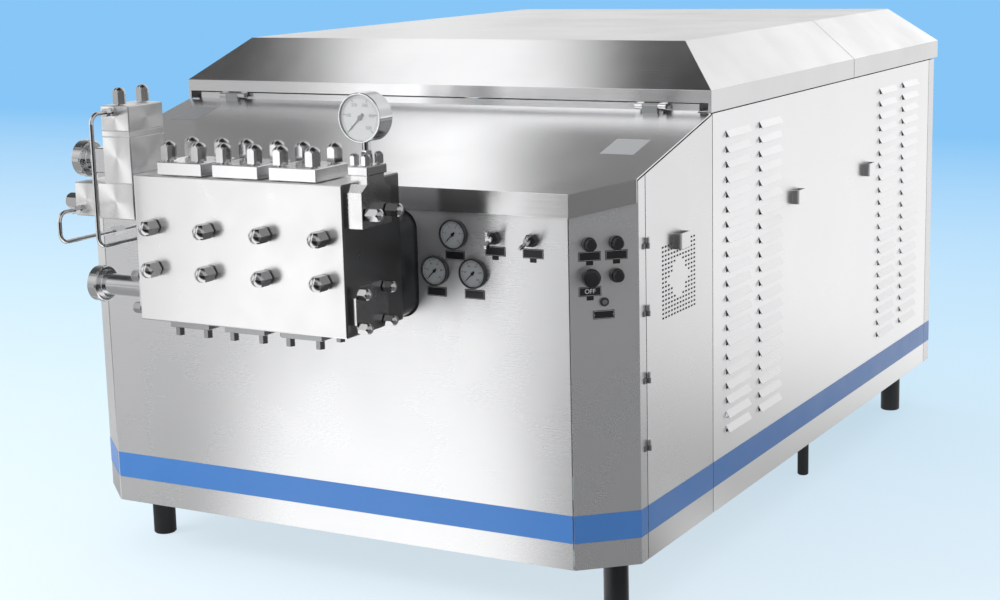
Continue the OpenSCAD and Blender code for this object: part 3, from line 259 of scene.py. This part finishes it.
SHEET = (0.85, 0.853, 0.86)
BRIGHT = (0.90, 0.902, 0.906)
mat = {
    "front": brushed("sheet_across", SHEET, 0.28, (3.0, 500.0, 500.0), metal=0.80),
    "side": brushed("sheet_along", SHEET, 0.30, (500.0, 3.0, 500.0), smear=(0.0, 0.0, 1.0)),
    # Painted shade: the doors take the side sheet at 0.88 of its colour.
    "door": brushed("sheet_door_shaded", scaled(SHEET, 0.88), 0.28, (500.0, 3.0, 500.0), smear=(0.0, 0.0, 1.0)),
    # Painted shade: the lid's faces that look along X are at 0.78 of the sheet colour.
    "lid": brushed("sheet_lid", SHEET, 0.19, (3.0, 300.0, 300.0), side_shade=0.78),
    "deck": brushed("sheet_deck", SHEET, 0.21, (3.0, 400.0, 400.0)),
    "frame": brushed("tube_frame", (0.42, 0.43, 0.44), 0.4, (200.0, 200.0, 3.0)),
    # Painted shade: the block's faces that look along X are at 0.22 of its colour, for the shade on its
    # ends.
    "block": polished("block_steel", BRIGHT, 0.29, marks=(900.0, 900.0, 20.0), vary=0.02, side_shade=0.22),
    "cover": polished("cover_steel", BRIGHT, 0.22, vary=0.03),
    # Painted shade: the mount's faces that look along X are at 0.32 of its colour.
    "mount": polished("mount_steel", BRIGHT, 0.26, vary=0.03, side_shade=0.32),
    "nut": polished("nut_steel", (0.62, 0.622, 0.628), 0.12, edge=0.0008),
    # Painted shade: steel darkened to about a quarter of its colour for the hex bolts under the pump
    # block.
    "bolt": polished("bolt_steel_shaded", (0.26, 0.262, 0.268), 0.16, edge=0.0006),
    "tube": polished("tube_steel", (0.74, 0.75, 0.76), 0.10, edge=0.0004),
    "union": polished("union_steel", (0.79, 0.80, 0.81), 0.12),
    "dark": coated("dark_steel", (0.045, 0.048, 0.052), 0.38, metal=0.6),
    "housing": coated("housing_paint", (0.03, 0.032, 0.036), 0.3, grain=160.0, depth=0.0002, coat=0.3),
    "casting": coated("casting_paint", (0.10, 0.22, 0.28), 0.42, grain=140.0, depth=0.0004, coat=0.2),
    "pulley": coated("pulley_iron", (0.08, 0.08, 0.085), 0.35, grain=220.0, metal=0.8),
    "seal": coated("seal_rubber", (0.012, 0.012, 0.013), 0.7, grain=500.0),
    "belt": coated("belt_rubber", (0.02, 0.02, 0.021), 0.75, grain=600.0, depth=0.0002),
    "bezel": coated("bezel_black", (0.035, 0.035, 0.038), 0.32, coat=0.2),
    "plastic": coated("black_plastic", (0.015, 0.015, 0.017), 0.36, coat=0.15),
    "pointer": coated("pointer_paint", (0.012, 0.012, 0.013), 0.45),
    "pointer_grey": coated("pointer_grey", (0.36, 0.365, 0.37), 0.45),
    "plate": coated("label_black", (0.012, 0.012, 0.014), 0.33, coat=0.3),
    "mark": coated("label_white", (0.80, 0.80, 0.80), 0.5, vary=0.04),
    "dial": coated("dial_white", (0.80, 0.81, 0.80), 0.55, vary=0.03),
    "dial_grey": coated("dial_grey", (0.50, 0.52, 0.53), 0.5, vary=0.05),
    "ink": coated("dial_ink", (0.02, 0.02, 0.022), 0.6),
    "ink_grey": coated("dial_ink_grey", (0.30, 0.31, 0.32), 0.6),
    "stripe": coated("stripe_blue", (0.062, 0.235, 0.64), 0.36, grain=500.0, depth=0.00003, vary=0.05,
                     coat=0.25),
    "sticker": coated("sticker_pale", (0.42, 0.435, 0.45), 0.40, vary=0.03),
    # Painted shade: a darker copy of the sticker colour, for the left sticker.
    "sticker_dim": coated("sticker_dim", (0.20, 0.21, 0.225), 0.40, vary=0.03),
    "rivet": polished("rivet_steel", (0.7, 0.7, 0.71), 0.2, edge=0.0003),
    "glass": clear_glass("gauge_glass"),
}

FINISH = {
    "front_panel": "front", "control_panel": "front", "left_corner_panel": "front",
    "rear_panel": "front", "hood": "deck", "lid_front": "lid", "lid_rear": "lid", "right_door": "door",
    "left_door": "door", "right_side_panel": "side", "left_side_panel": "side", "panel_frame": "frame",
    # Painted shade: the suction covers take the darker frame steel in place of the cover steel.
    "hinges": "frame", "pump_block": "block", "valve_covers": "cover", "suction_covers": "frame",
    "suction_flanges": "mount", "gauge_mount": "mount", "cap_nuts": "nut", "hex_bolts": "bolt",
    "tie_studs": "nut", "plunger_glands": "nut", "pressure_tubes": "tube", "outlet_union": "union",
    "inlet_union": "union", "valve_stems": "bezel", "block_gauge": "union", "panel_gauges": "bezel",
    "button_bezels": "bezel", "base_frame": "dark", "legs": "dark", "motor_rails": "dark",
    "plunger_housing": "housing", "crankcase": "casting", "crankcase_cover": "casting",
    "motor": "casting", "driven_pulley": "pulley", "motor_pulley": "pulley", "drive_belts": "belt",
    "plunger_left": "nut", "plunger_middle": "nut", "plunger_right": "nut", "gauge_glasses": "glass",
    "pointer_top": "pointer", "pointer_left": "pointer", "pointer_right": "pointer",
    "block_pointer": "pointer_grey", "wing_handle_left": "nut", "wing_handle_right": "nut",
    "start_button": "plastic", "jog_button": "plastic", "reset_button": "plastic",
    "stop_button": "plastic", "key_rotor": "nut",
}


def middle(name):
    low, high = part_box(name)
    return (low + high) / 2


for name in ("stage_block", "second_stage", "first_stage", "first_stage_cap"):
    mat[name] = turned("turned_" + name, BRIGHT, 0.30, tuple(middle(name)))
    FINISH[name] = name


def smooth_by_angle(obj, angle):
    mesh = obj.data
    mesh.polygons.foreach_set("use_smooth", [True] * len(mesh.polygons))
    mesh.set_sharp_from_angle(angle=angle)


for name, obj in NODES.items():
    obj.data.materials.clear()
    obj.data.materials.append(mat[FINISH[name]])


# Mesh helpers for the scene's own pieces
def add_mesh(name, verts, faces, material, body, smooth=False):
    mesh = bpy.data.meshes.new(name)
    mesh.from_pydata([tuple(v) for v in verts], [], faces)
    mesh.update()
    obj = bpy.data.objects.new(name, mesh)
    bpy.context.scene.collection.objects.link(obj)
    mesh.materials.append(mat[material])
    if smooth:
        smooth_by_angle(obj, math.radians(35))
    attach(obj, body)
    return obj


def facing(origin, right, out):
    """Matrix of a face: x to the right, y up, z outwards."""
    right = Vector(right).normalized()
    out = Vector(out).normalized()
    up = out.cross(right).normalized()
    m = Matrix((right, up, out)).transposed().to_4x4()
    m.translation = Vector(origin)
    return m


CORNER_DIR = Vector((CORNER_W, CORNER_D, 0)).normalized()
CORNER_OUT = Vector((CORNER_D, -CORNER_W, 0)).normalized()


def on_front(x, z, out=0.0):
    return facing((x, PANEL_Y - out, z), (1, 0, 0), (0, -1, 0))


def on_corner(u, z, out=0.0):
    p = Vector((CORNER_X, PANEL_Y, z)) + CORNER_DIR * u + CORNER_OUT * out
    return facing(p, CORNER_DIR, CORNER_OUT)


def rounded(w, h, r, steps=5):
    pts = []
    for cx, cy, a0 in ((w / 2 - r, h / 2 - r, 0), (r - w / 2, h / 2 - r, 90), (r - w / 2, r - h / 2, 180),
                       (w / 2 - r, r - h / 2, 270)):
        for i in range(steps + 1):
            a = math.radians(a0 + 90 * i / steps)
            pts.append((cx + r * math.cos(a), cy + r * math.sin(a)))
    return pts


def ring_solid(rings):
    """Verts and faces of stacked rings of equal length, closed at both ends."""
    verts = [v for ring in rings for v in ring]
    n = len(rings[0])
    faces = []
    for k in range(len(rings) - 1):
        a = k * n
        b = a + n
        for i in range(n):
            j = (i + 1) % n
            faces.append((a + i, a + j, b + j, b + i))
    faces.append(tuple(range(n - 1, -1, -1)))
    faces.append(tuple(range((len(rings) - 1) * n, len(rings) * n)))
    return verts, faces


def plate_mesh(w, h, t, r, edge):
    base = rounded(w, h, r)
    inner = rounded(w - 2 * edge, h - 2 * edge, max(r - edge, 0.0002))
    return ring_solid([[(x, y, 0) for x, y in base], [(x, y, t - edge) for x, y in base],
                       [(x, y, t) for x, y in inner]])


def merge(parts):
    verts = []
    faces = []
    for v, f in parts:
        base = len(verts)
        verts += list(v)
        faces += [tuple(i + base for i in face) for face in f]
    return verts, faces


def moved(part, m):
    v, f = part
    return [m @ Vector(p) for p in v], f


def dome(r, h, steps=12, rings=4):
    """A low rivet head."""
    levels = []
    turns = [2 * math.pi * i / steps for i in range(steps)]
    for k in range(rings):
        tilt = math.radians(90 * k / rings)
        reach = r * math.cos(tilt)
        levels.append([(reach * math.cos(t), reach * math.sin(t), h * math.sin(tilt)) for t in turns])
    return ring_solid(levels)


def border_mesh(w, h, line, z, r):
    """A thin raised frame line."""
    outer = rounded(w, h, r)
    inner = rounded(w - 2 * line, h - 2 * line, max(r - line, 0.0002))
    n = len(outer)
    verts = [(x, y, z) for x, y in outer] + [(x, y, z) for x, y in inner]
    faces = [(i, (i + 1) % n, n + (i + 1) % n, n + i) for i in range(n)]
    return verts, faces


PLATE_T = 0.0012
PLATE_EDGE = 0.0003
LINE_IN = 0.003
LINE_Z = 0.00126


def label(name, m, w=0.052, h=0.022, tab=True):
    """A bare black label plate with a white frame line and, where said, a small tab below."""
    parts = [plate_mesh(w, h, PLATE_T, 0.0016, PLATE_EDGE)]
    if tab:
        down = Matrix.Translation((0, -h / 2 - 0.004, 0))
        parts.append(moved(plate_mesh(0.016, 0.010, PLATE_T, 0.001, PLATE_EDGE), down))
    add_mesh(name, *moved(merge(parts), m), "plate", "machine", True)
    line = border_mesh(w - LINE_IN, h - LINE_IN, 0.0005, LINE_Z, 0.001)
    add_mesh(name + "_line", *moved(line, m), "mark", "machine")


def text_part(words, size, m, z):
    """Verts and faces of a word, centred, at height z in the face's frame."""
    curve = bpy.data.curves.new("word", "FONT")
    curve.body = words
    curve.size = size
    curve.align_x = "CENTER"
    curve.align_y = "CENTER"
    obj = bpy.data.objects.new("word", curve)
    bpy.context.scene.collection.objects.link(obj)
    bpy.context.view_layer.update()
    mesh = obj.evaluated_get(bpy.context.evaluated_depsgraph_get()).to_mesh()
    verts = [m @ Vector((v.co.x, v.co.y, z)) for v in mesh.vertices]
    faces = [tuple(p.vertices) for p in mesh.polygons]
    bpy.data.objects.remove(obj)
    return verts, faces


# Blue stripe round the cabinet, one strip on each panel
STRIPE_T = 0.0006


def stripe(name, points, body):
    """A thin band that follows a path in plan; the path runs so that outwards is to its right."""
    n = len(points)
    normals = []
    for i in range(n):
        dirs = []
        if i > 0:
            dirs.append((Vector(points[i]) - Vector(points[i - 1])).normalized())
        if i < n - 1:
            dirs.append((Vector(points[i + 1]) - Vector(points[i])).normalized())
        outs = [Vector((d.y, -d.x)) for d in dirs]
        s = sum(outs, Vector((0, 0)))
        normals.append(s / (s.dot(outs[0])))
    verts = []
    for p, nrm in zip(points, normals):
        q = Vector(p) + nrm * STRIPE_T
        for x, y in (p, (q.x, q.y)):
            for z in STRIPE_Z:
                verts.append((x, y, z))
    faces = []
    for i in range(n - 1):
        a = 4 * i
        b = a + 4
        faces += [(a + 2, b + 2, b + 3, a + 3), (a + 1, a + 3, b + 3, b + 1), (a, b, b + 2, a + 2),
                  (a, a + 1, b + 1, b)]
    e = 4 * (n - 1)
    faces += [(0, 2, 3, 1), (e, e + 1, e + 3, e + 2)]
    add_mesh(name, verts, faces, "stripe", body)


EDGE_X = CORNER_X - 3 * MM
stripe("stripe_front", [(-EDGE_X, PANEL_Y), (EDGE_X, PANEL_Y)], "machine")
right_path = [(CORNER_X, PANEL_Y), (HALF_W, PANEL_Y + CORNER_D), (HALF_W, PANEL_Y + STRIP_D)]
stripe("stripe_right_corner", right_path, "machine")
stripe("stripe_left_corner", [(-x, y) for x, y in reversed(right_path)], "machine")
for side, s in (("right", 1), ("left", -1)):
    for part, span, body in (("door", DOOR_D, side + "_door"), ("side", SIDE_D, side + "_side_panel"),
                             ("rear", REAR_D, "machine")):
        path = [(s * HALF_W, PANEL_Y + span[0]), (s * HALF_W, PANEL_Y + span[1])]
        stripe("stripe_%s_%s" % (side, part), path if s > 0 else path[::-1], body)
BACK_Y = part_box("rear_panel")[1].y
stripe("stripe_back", [(HALF_W, BACK_Y), (-HALF_W, BACK_Y)], "machine")

# Dark seals in the upright gaps between the panels
SEAL_W = 2.2 * MM
SEAL_IN = (6 * MM, 0.8 * MM)
LEG_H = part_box("front_panel")[0].z
DECK_Z = 1010 * MM
DECK_SLOPE = math.radians(13.8)
SIDE_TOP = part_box("right_side_panel")[1].z


def seal(name, s, d, top):
    """An upright strip in the gap at depth d on one side, rounded towards the outside."""
    ring = []
    for out, half in ((SEAL_IN[0], 1.0), (2 * SEAL_IN[1], 1.0), (SEAL_IN[1], 0.6)):
        ring.append((s * (HALF_W - out), PANEL_Y + d - half * SEAL_W / 2))
    for x, y in reversed(list(ring)):
        ring.append((x, 2 * (PANEL_Y + d) - y))
    if s < 0:
        ring.reverse()
    levels = [[(x, y, z) for x, y in ring] for z in (LEG_H + 4 * MM, top)]
    add_mesh(name, *ring_solid(levels), "seal", "machine", True)


for side, s in (("right", 1), ("left", -1)):
    for part, d in (("door", (STRIP_D + DOOR_D[0]) / 2), ("side", (DOOR_D[1] + SIDE_D[0]) / 2),
                    ("rear", (SIDE_D[1] + REAR_D[0]) / 2)):
        top = min(DECK_Z + d * math.tan(DECK_SLOPE) - 0.012, SIDE_TOP - 0.002)
        seal("seal_%s_%s" % (side, part), s, d, top)

# Label plates of the front panel
GAUGES = ((0.371, 0.904), (0.320, 0.817), (0.420, 0.817))
for i, (x, z) in enumerate(GAUGES):
    label("gauge_label_%d" % i, on_front(x, z - 0.049), tab=False)
for i, x in enumerate((0.476, 0.572)):
    label("valve_label_%d" % i, on_front(x, 0.871))

# Label plates and name plate of the control panel
label("button_label_0", on_corner(0.046, 0.868))
label("button_label_1", on_corner(0.108, 0.868))
STOP_PLATE = (0.046, 0.789)
label("button_label_2", on_corner(*STOP_PLATE))
add_mesh("off_word", *text_part("OFF", 0.0145, on_corner(*STOP_PLATE), 0.00135), "mark", "machine")
NAME_PLATE = (0.077, 0.735)
RIVET_X = 0.0225
label("name_plate", on_corner(*NAME_PLATE), 0.050, 0.020, tab=False)
rivets = []
for s in (-1, 1):
    spot = on_corner(NAME_PLATE[0] + s * RIVET_X, NAME_PLATE[1], PLATE_T)
    rivets.append(moved(dome(0.0016, 0.001), spot))
add_mesh("name_plate_rivets", *merge(rivets), "rivet", "machine", True)


# Gauge dials: a card with ticks and numbers behind the glass
def dial(name, m, r, card, ink_name, step):
    steps = 64
    ring = [(math.cos(2 * math.pi * i / steps), math.sin(2 * math.pi * i / steps)) for i in range(steps)]
    levels = [[(k * x, k * y, z) for x, y in ring] for k, z in ((r, 0), (r, 0.0003), (r - 0.0004, 0.0006))]
    add_mesh(name + "_card", *moved(ring_solid(levels), m), card, "machine", True)
    ink = []
    z = 0.00066
    count = 50
    for i in range(count + 1):
        a = math.radians(225 - 270 * i / count)
        long = i % 10 == 0
        mid = i % 5 == 0
        r1 = r * 0.90
        r0 = r * (0.74 if long else 0.79 if mid else 0.83)
        half = r * (0.016 if long else 0.008)
        c, s = math.cos(a), math.sin(a)
        quad = [(r0 * c + half * s, r0 * s - half * c, z), (r1 * c + half * s, r1 * s - half * c, z),
                (r1 * c - half * s, r1 * s + half * c, z), (r0 * c - half * s, r0 * s + half * c, z)]
        ink.append(([m @ Vector(p) for p in quad], [(0, 1, 2, 3)]))
        if long:
            spot = m @ Matrix.Translation((0.60 * r * c, 0.60 * r * s, 0))
            ink.append(text_part(str(step * i // 10), r * 0.2, spot, z))
    add_mesh(name + "_ink", *merge(ink), ink_name, "machine")


DIAL_OUT = 9 * MM
for i, (x, z) in enumerate(GAUGES):
    dial("panel_dial_%d" % i, on_front(x, z, DIAL_OUT), 0.0312, "dial_grey", "ink", (2, 20, 50)[i])
gauge_low, gauge_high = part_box("block_gauge")
gauge_c = ((gauge_low.x + gauge_high.x) / 2, gauge_high.z - 0.054)
block_face = facing((gauge_c[0], gauge_low.y + 0.005, gauge_c[1]), (1, 0, 0), (0, -1, 0))
dial("block_dial", block_face, 0.0502, "dial", "ink_grey", 100)

# Bare stickers on the deck; the left one takes a darker copy of the sticker colour, which is painted shade
def on_deck(x, d):
    z = DECK_Z + d * math.tan(DECK_SLOPE)
    return facing((x, PANEL_Y + d, z), (1, 0, 0), (0, -math.sin(DECK_SLOPE), math.cos(DECK_SLOPE)))


STICKER_MESH = plate_mesh(0.086, 0.10, 0.0003, 0.002, 0.0001)
for i, (x, d, finish) in enumerate(((0.665, 0.288, "sticker"), (-0.680, 0.415, "sticker_dim"))):
    add_mesh("deck_sticker_%d" % i, *moved(STICKER_MESH, on_deck(x, d)), finish, "machine", True)


# Studio: floor, world, lamps and camera
LANE_SLOPE = 0.63
LANE_X = 0.79
LANE_WIDTH = (0.55, 0.12)
LANE_LEVEL = (1.12, 0.98)
LEFT_LEVEL = (0.62, 0.36)
FAR_LEFT_LEVEL = 0.4
RIGHT_LEVEL = 0.17
WEDGE_LEVEL = 0.12
BACK_LEVEL = (0.45, 1.05)


def floor_material():
    m = bpy.data.materials.new("studio_floor")
    m.use_nodes = True
    nt = m.node_tree
    nt.nodes.clear()
    out = node(nt, "ShaderNodeOutputMaterial")
    tc = node(nt, "ShaderNodeTexCoord")
    sep = node(nt, "ShaderNodeSeparateXYZ")
    link(nt, tc.outputs["Object"], sep.inputs[0])
    ramp = node(nt, "ShaderNodeMapRange", {"From Min": -1.5, "From Max": 9.0})
    link(nt, sep.outputs["Y"], ramp.inputs["Value"])
    blue = node(nt, "ShaderNodeValToRGB")
    blue.color_ramp.elements[0].color = (0.83, 0.93, 1.0, 1)
    blue.color_ramp.elements[1].color = (0.24, 0.56, 0.92, 1)
    mid = blue.color_ramp.elements.new(0.35)
    mid.color = (0.62, 0.83, 0.98, 1)
    link(nt, ramp.outputs["Result"], blue.inputs["Fac"])
    glow = node(nt, "ShaderNodeEmission", {"Strength": 0.78})
    link(nt, blue.outputs["Color"], glow.inputs["Color"])
    matte = node(nt, "ShaderNodeBsdfDiffuse")
    dim = node(nt, "ShaderNodeMix", data_type="RGBA", blend_type="MULTIPLY")
    dim.inputs["Factor"].default_value = 1.0
    link(nt, blue.outputs["Color"], dim.inputs["A"])
    dim.inputs["B"].default_value = (0.28, 0.28, 0.28, 1)
    link(nt, dim.outputs["Result"], matte.inputs["Color"])
    both = node(nt, "ShaderNodeAddShader")
    link(nt, glow.outputs[0], both.inputs[0])
    link(nt, matte.outputs[0], both.inputs[1])
    # What the metal shows: a bright lane to the front left, dark to the front right, bright behind
    x, y = sep.outputs["X"], sep.outputs["Y"]
    across = figure(nt, "SUBTRACT", x, figure(nt, "MULTIPLY", y, LANE_SLOPE))
    across = figure(nt, "SUBTRACT", across, LANE_X)
    width = figure(nt, "SUBTRACT", LANE_WIDTH[0], figure(nt, "MULTIPLY", y, LANE_WIDTH[1]))
    across = figure(nt, "DIVIDE", across, width)
    lane = figure(nt, "MULTIPLY", smooth_range(nt, across, -0.95, -0.40, 0.0, 1.0),
                  smooth_range(nt, across, 0.42, 0.82, 1.0, 0.0))
    lane = figure(nt, "MULTIPLY", lane, smooth_range(nt, y, -6.0, -3.5, *LANE_LEVEL))
    left = figure(nt, "ADD", smooth_range(nt, y, -6.2, -3.8, *LEFT_LEVEL),
                  smooth_range(nt, across, -4.0, -2.0, FAR_LEFT_LEVEL, 0.0))
    right = smooth_range(nt, across, 0.0, 1.0, 0.0, 1.0)
    sides = figure(nt, "ADD", figure(nt, "MULTIPLY", left, figure(nt, "SUBTRACT", 1.0, right)),
                   figure(nt, "MULTIPLY", right, RIGHT_LEVEL))
    beside = figure(nt, "ADD", x, figure(nt, "MULTIPLY", y, 1.1))
    wedge = smooth_range(nt, beside, -1.7, -0.7, WEDGE_LEVEL, 1.0)
    wedge = figure(nt, "MAXIMUM", wedge, smooth_range(nt, across, 0.8, 1.6, 1.0, 0.0))
    front = figure(nt, "ADD", lane, figure(nt, "MULTIPLY", sides, wedge))
    back = smooth_range(nt, y, 0.2, 2.6, *BACK_LEVEL)
    behind = smooth_range(nt, y, -0.9, 0.3, 0.0, 1.0)
    shown = figure(nt, "ADD", figure(nt, "MULTIPLY", back, behind),
                   figure(nt, "MULTIPLY", front, figure(nt, "SUBTRACT", 1.0, behind)))
    seen = node(nt, "ShaderNodeEmission", {"Color": (1, 1, 1, 1)})
    link(nt, shown, seen.inputs["Strength"])
    plain = node(nt, "ShaderNodeBsdfDiffuse", {"Color": (0.7, 0.72, 0.74, 1)})
    path = node(nt, "ShaderNodeLightPath")
    shiny = node(nt, "ShaderNodeMixShader")
    link(nt, path.outputs["Is Glossy Ray"], shiny.inputs[0])
    link(nt, plain.outputs[0], shiny.inputs[1])
    link(nt, seen.outputs[0], shiny.inputs[2])
    pick = node(nt, "ShaderNodeMixShader")
    link(nt, path.outputs["Is Camera Ray"], pick.inputs[0])
    link(nt, shiny.outputs[0], pick.inputs[1])
    link(nt, both.outputs[0], pick.inputs[2])
    link(nt, pick.outputs[0], out.inputs["Surface"])
    return m


mesh = bpy.data.meshes.new("studio_floor")
mesh.from_pydata([(-40, -40, 0), (40, -40, 0), (40, 40, 0), (-40, 40, 0)], [], [(0, 1, 2, 3)])
floor = bpy.data.objects.new("studio_floor", mesh)
bpy.context.scene.collection.objects.link(floor)
mesh.materials.append(floor_material())

world = bpy.data.worlds.new("studio")
bpy.context.scene.world = world
world.use_nodes = True
wt = world.node_tree
wt.nodes.clear()
w_out = node(wt, "ShaderNodeOutputWorld")
w_tc = node(wt, "ShaderNodeTexCoord")
w_sep = node(wt, "ShaderNodeSeparateXYZ")
link(wt, w_tc.outputs["Generated"], w_sep.inputs[0])
w_sky = node(wt, "ShaderNodeValToRGB")
w_sky.color_ramp.elements[0].position = 0.0
w_sky.color_ramp.elements[0].color = (0.24, 0.56, 0.92, 1)
w_sky.color_ramp.elements[1].position = 0.5
w_sky.color_ramp.elements[1].color = (0.16, 0.46, 0.88, 1)
link(wt, w_sep.outputs["Z"], w_sky.inputs["Fac"])


def soft_box(direction, inner, outer, strength, rest=0.0):
    """Brightness of a round soft box seen in a direction, with its edge from inner to outer degrees."""
    turn = node(wt, "ShaderNodeVectorMath", operation="DOT_PRODUCT")
    link(wt, w_tc.outputs["Generated"], turn.inputs[0])
    turn.inputs[1].default_value = Vector(direction).normalized()
    far = math.cos(math.radians(outer))
    near = math.cos(math.radians(inner))
    return smooth_range(wt, turn.outputs["Value"], far, near, rest, strength)


# What the metal shows above the floor: a strip box overhead, a bright back wall and two grey walls
ROOM_LIGHT = (0.42, 0.95)
STRIP_LEVEL = 1.12
DARK_LEVEL = (0.18, 0.03)
BACK_WALL_LEVEL = 0.70
GREY_WALL_LEVEL = 0.42
d_x, d_y, d_z = w_sep.outputs["X"], w_sep.outputs["Y"], w_sep.outputs["Z"]
low = figure(wt, "SUBTRACT", 0.88, d_z)
strip_left = figure(wt, "SUBTRACT", d_x, figure(wt, "MULTIPLY", low, 0.06))
strip_right = figure(wt, "ADD", d_x, figure(wt, "MULTIPLY", low, 0.10))
strip_right = figure(wt, "SUBTRACT", strip_right, smooth_range(wt, d_y, -0.5, -0.2, 0.22, 0.0))
strip = figure(wt, "MULTIPLY", smooth_range(wt, strip_left, -0.585, -0.54, 0.0, STRIP_LEVEL),
               smooth_range(wt, strip_right, -0.465, -0.42, 1.0, 0.0))
dark = smooth_range(wt, d_z, 0.50, 0.85, *DARK_LEVEL)
back_wall = figure(wt, "MULTIPLY", smooth_range(wt, d_y, 0.2, 0.65, 0.0, BACK_WALL_LEVEL),
                   smooth_range(wt, d_z, 0.24, 0.48, 1.0, 0.0))
back_wall = figure(wt, "MULTIPLY", back_wall, smooth_range(wt, d_x, 0.2, 0.5, 1.0, 0.7))
front_wall = figure(wt, "MULTIPLY", smooth_range(wt, d_y, -0.6, -0.25, GREY_WALL_LEVEL, 0.0),
                    smooth_range(wt, d_y, -0.84, -0.72, 0.0, 1.0))
walls = figure(wt, "MAXIMUM", front_wall, smooth_range(wt, d_x, 0.5, 0.8, 0.0, GREY_WALL_LEVEL))
w_studio = figure(wt, "MAXIMUM", figure(wt, "MAXIMUM", strip, back_wall), walls)
w_studio = figure(wt, "ADD", w_studio, dark)
w_studio = figure(wt, "ADD", w_studio, soft_box((0.08, 0.82, 0.57), 14, 32, 0.60))
w_studio = figure(wt, "ADD", w_studio, soft_box((-1.0, -0.25, 0.20), 18, 34, 0.85))
w_path = node(wt, "ShaderNodeLightPath")
w_room = node(wt, "ShaderNodeMix", data_type="FLOAT")
link(wt, w_path.outputs["Is Glossy Ray"], w_room.inputs["Factor"])
link(wt, soft_box((-0.55, 0.1, 0.8), 30, 110, ROOM_LIGHT[1], ROOM_LIGHT[0]), w_room.inputs["A"])
link(wt, w_studio, w_room.inputs["B"])
w_grey = node(wt, "ShaderNodeCombineColor")
for channel in ("Red", "Green", "Blue"):
    link(wt, w_room.outputs["Result"], w_grey.inputs[channel])
w_mix = node(wt, "ShaderNodeMix", data_type="RGBA")
link(wt, w_path.outputs["Is Camera Ray"], w_mix.inputs["Factor"])
link(wt, w_grey.outputs["Color"], w_mix.inputs["A"])
link(wt, w_sky.outputs["Color"], w_mix.inputs["B"])
w_bg = node(wt, "ShaderNodeBackground", {"Strength": 1.0})
link(wt, w_mix.outputs["Result"], w_bg.inputs["Color"])
link(wt, w_bg.outputs[0], w_out.inputs["Surface"])


def lamp(name, place, aim, size, power):
    data = bpy.data.lights.new(name, "AREA")
    data.shape = "RECTANGLE"
    data.size, data.size_y = size
    data.energy = power
    obj = bpy.data.objects.new(name, data)
    bpy.context.scene.collection.objects.link(obj)
    obj.location = place
    obj.rotation_euler = (Vector(aim) - Vector(place)).to_track_quat("-Z", "Y").to_euler()
    obj.visible_glossy = False


lamp("key_left", (-3.6, -4.2, 3.4), (0, -1.0, 0.7), (2.0, 1.6), 150)

# Camera as solved from the cabinet's edges, for a picture 1000 px wide
F_PX = 1880.6846
IMAGE_PX = 1000.0
SENSOR_MM = 36.0
YAW = math.radians(29.1805)
PITCH = math.radians(11.1668)
ROLL = math.radians(1.4094)
EYE = Vector((2.513205, -4.639894, 1.581157))
fwd = Vector((-math.sin(YAW) * math.cos(PITCH), math.cos(YAW) * math.cos(PITCH), -math.sin(PITCH)))
right0 = Vector((math.cos(YAW), math.sin(YAW), 0))
down0 = fwd.cross(right0)
right = math.cos(ROLL) * right0 + math.sin(ROLL) * down0
down = -math.sin(ROLL) * right0 + math.cos(ROLL) * down0
cam_data = bpy.data.cameras.new("photo_camera")
cam_data.sensor_width = SENSOR_MM
cam_data.lens = F_PX * SENSOR_MM / IMAGE_PX
cam_data.clip_end = 200
cam = bpy.data.objects.new("photo_camera", cam_data)
bpy.context.scene.collection.objects.link(cam)
pose = Matrix((right, -down, -fwd)).transposed().to_4x4()
pose.translation = EYE
cam.matrix_world = pose
bpy.context.scene.camera = cam

bpy.context.scene.view_settings.view_transform = "Standard"
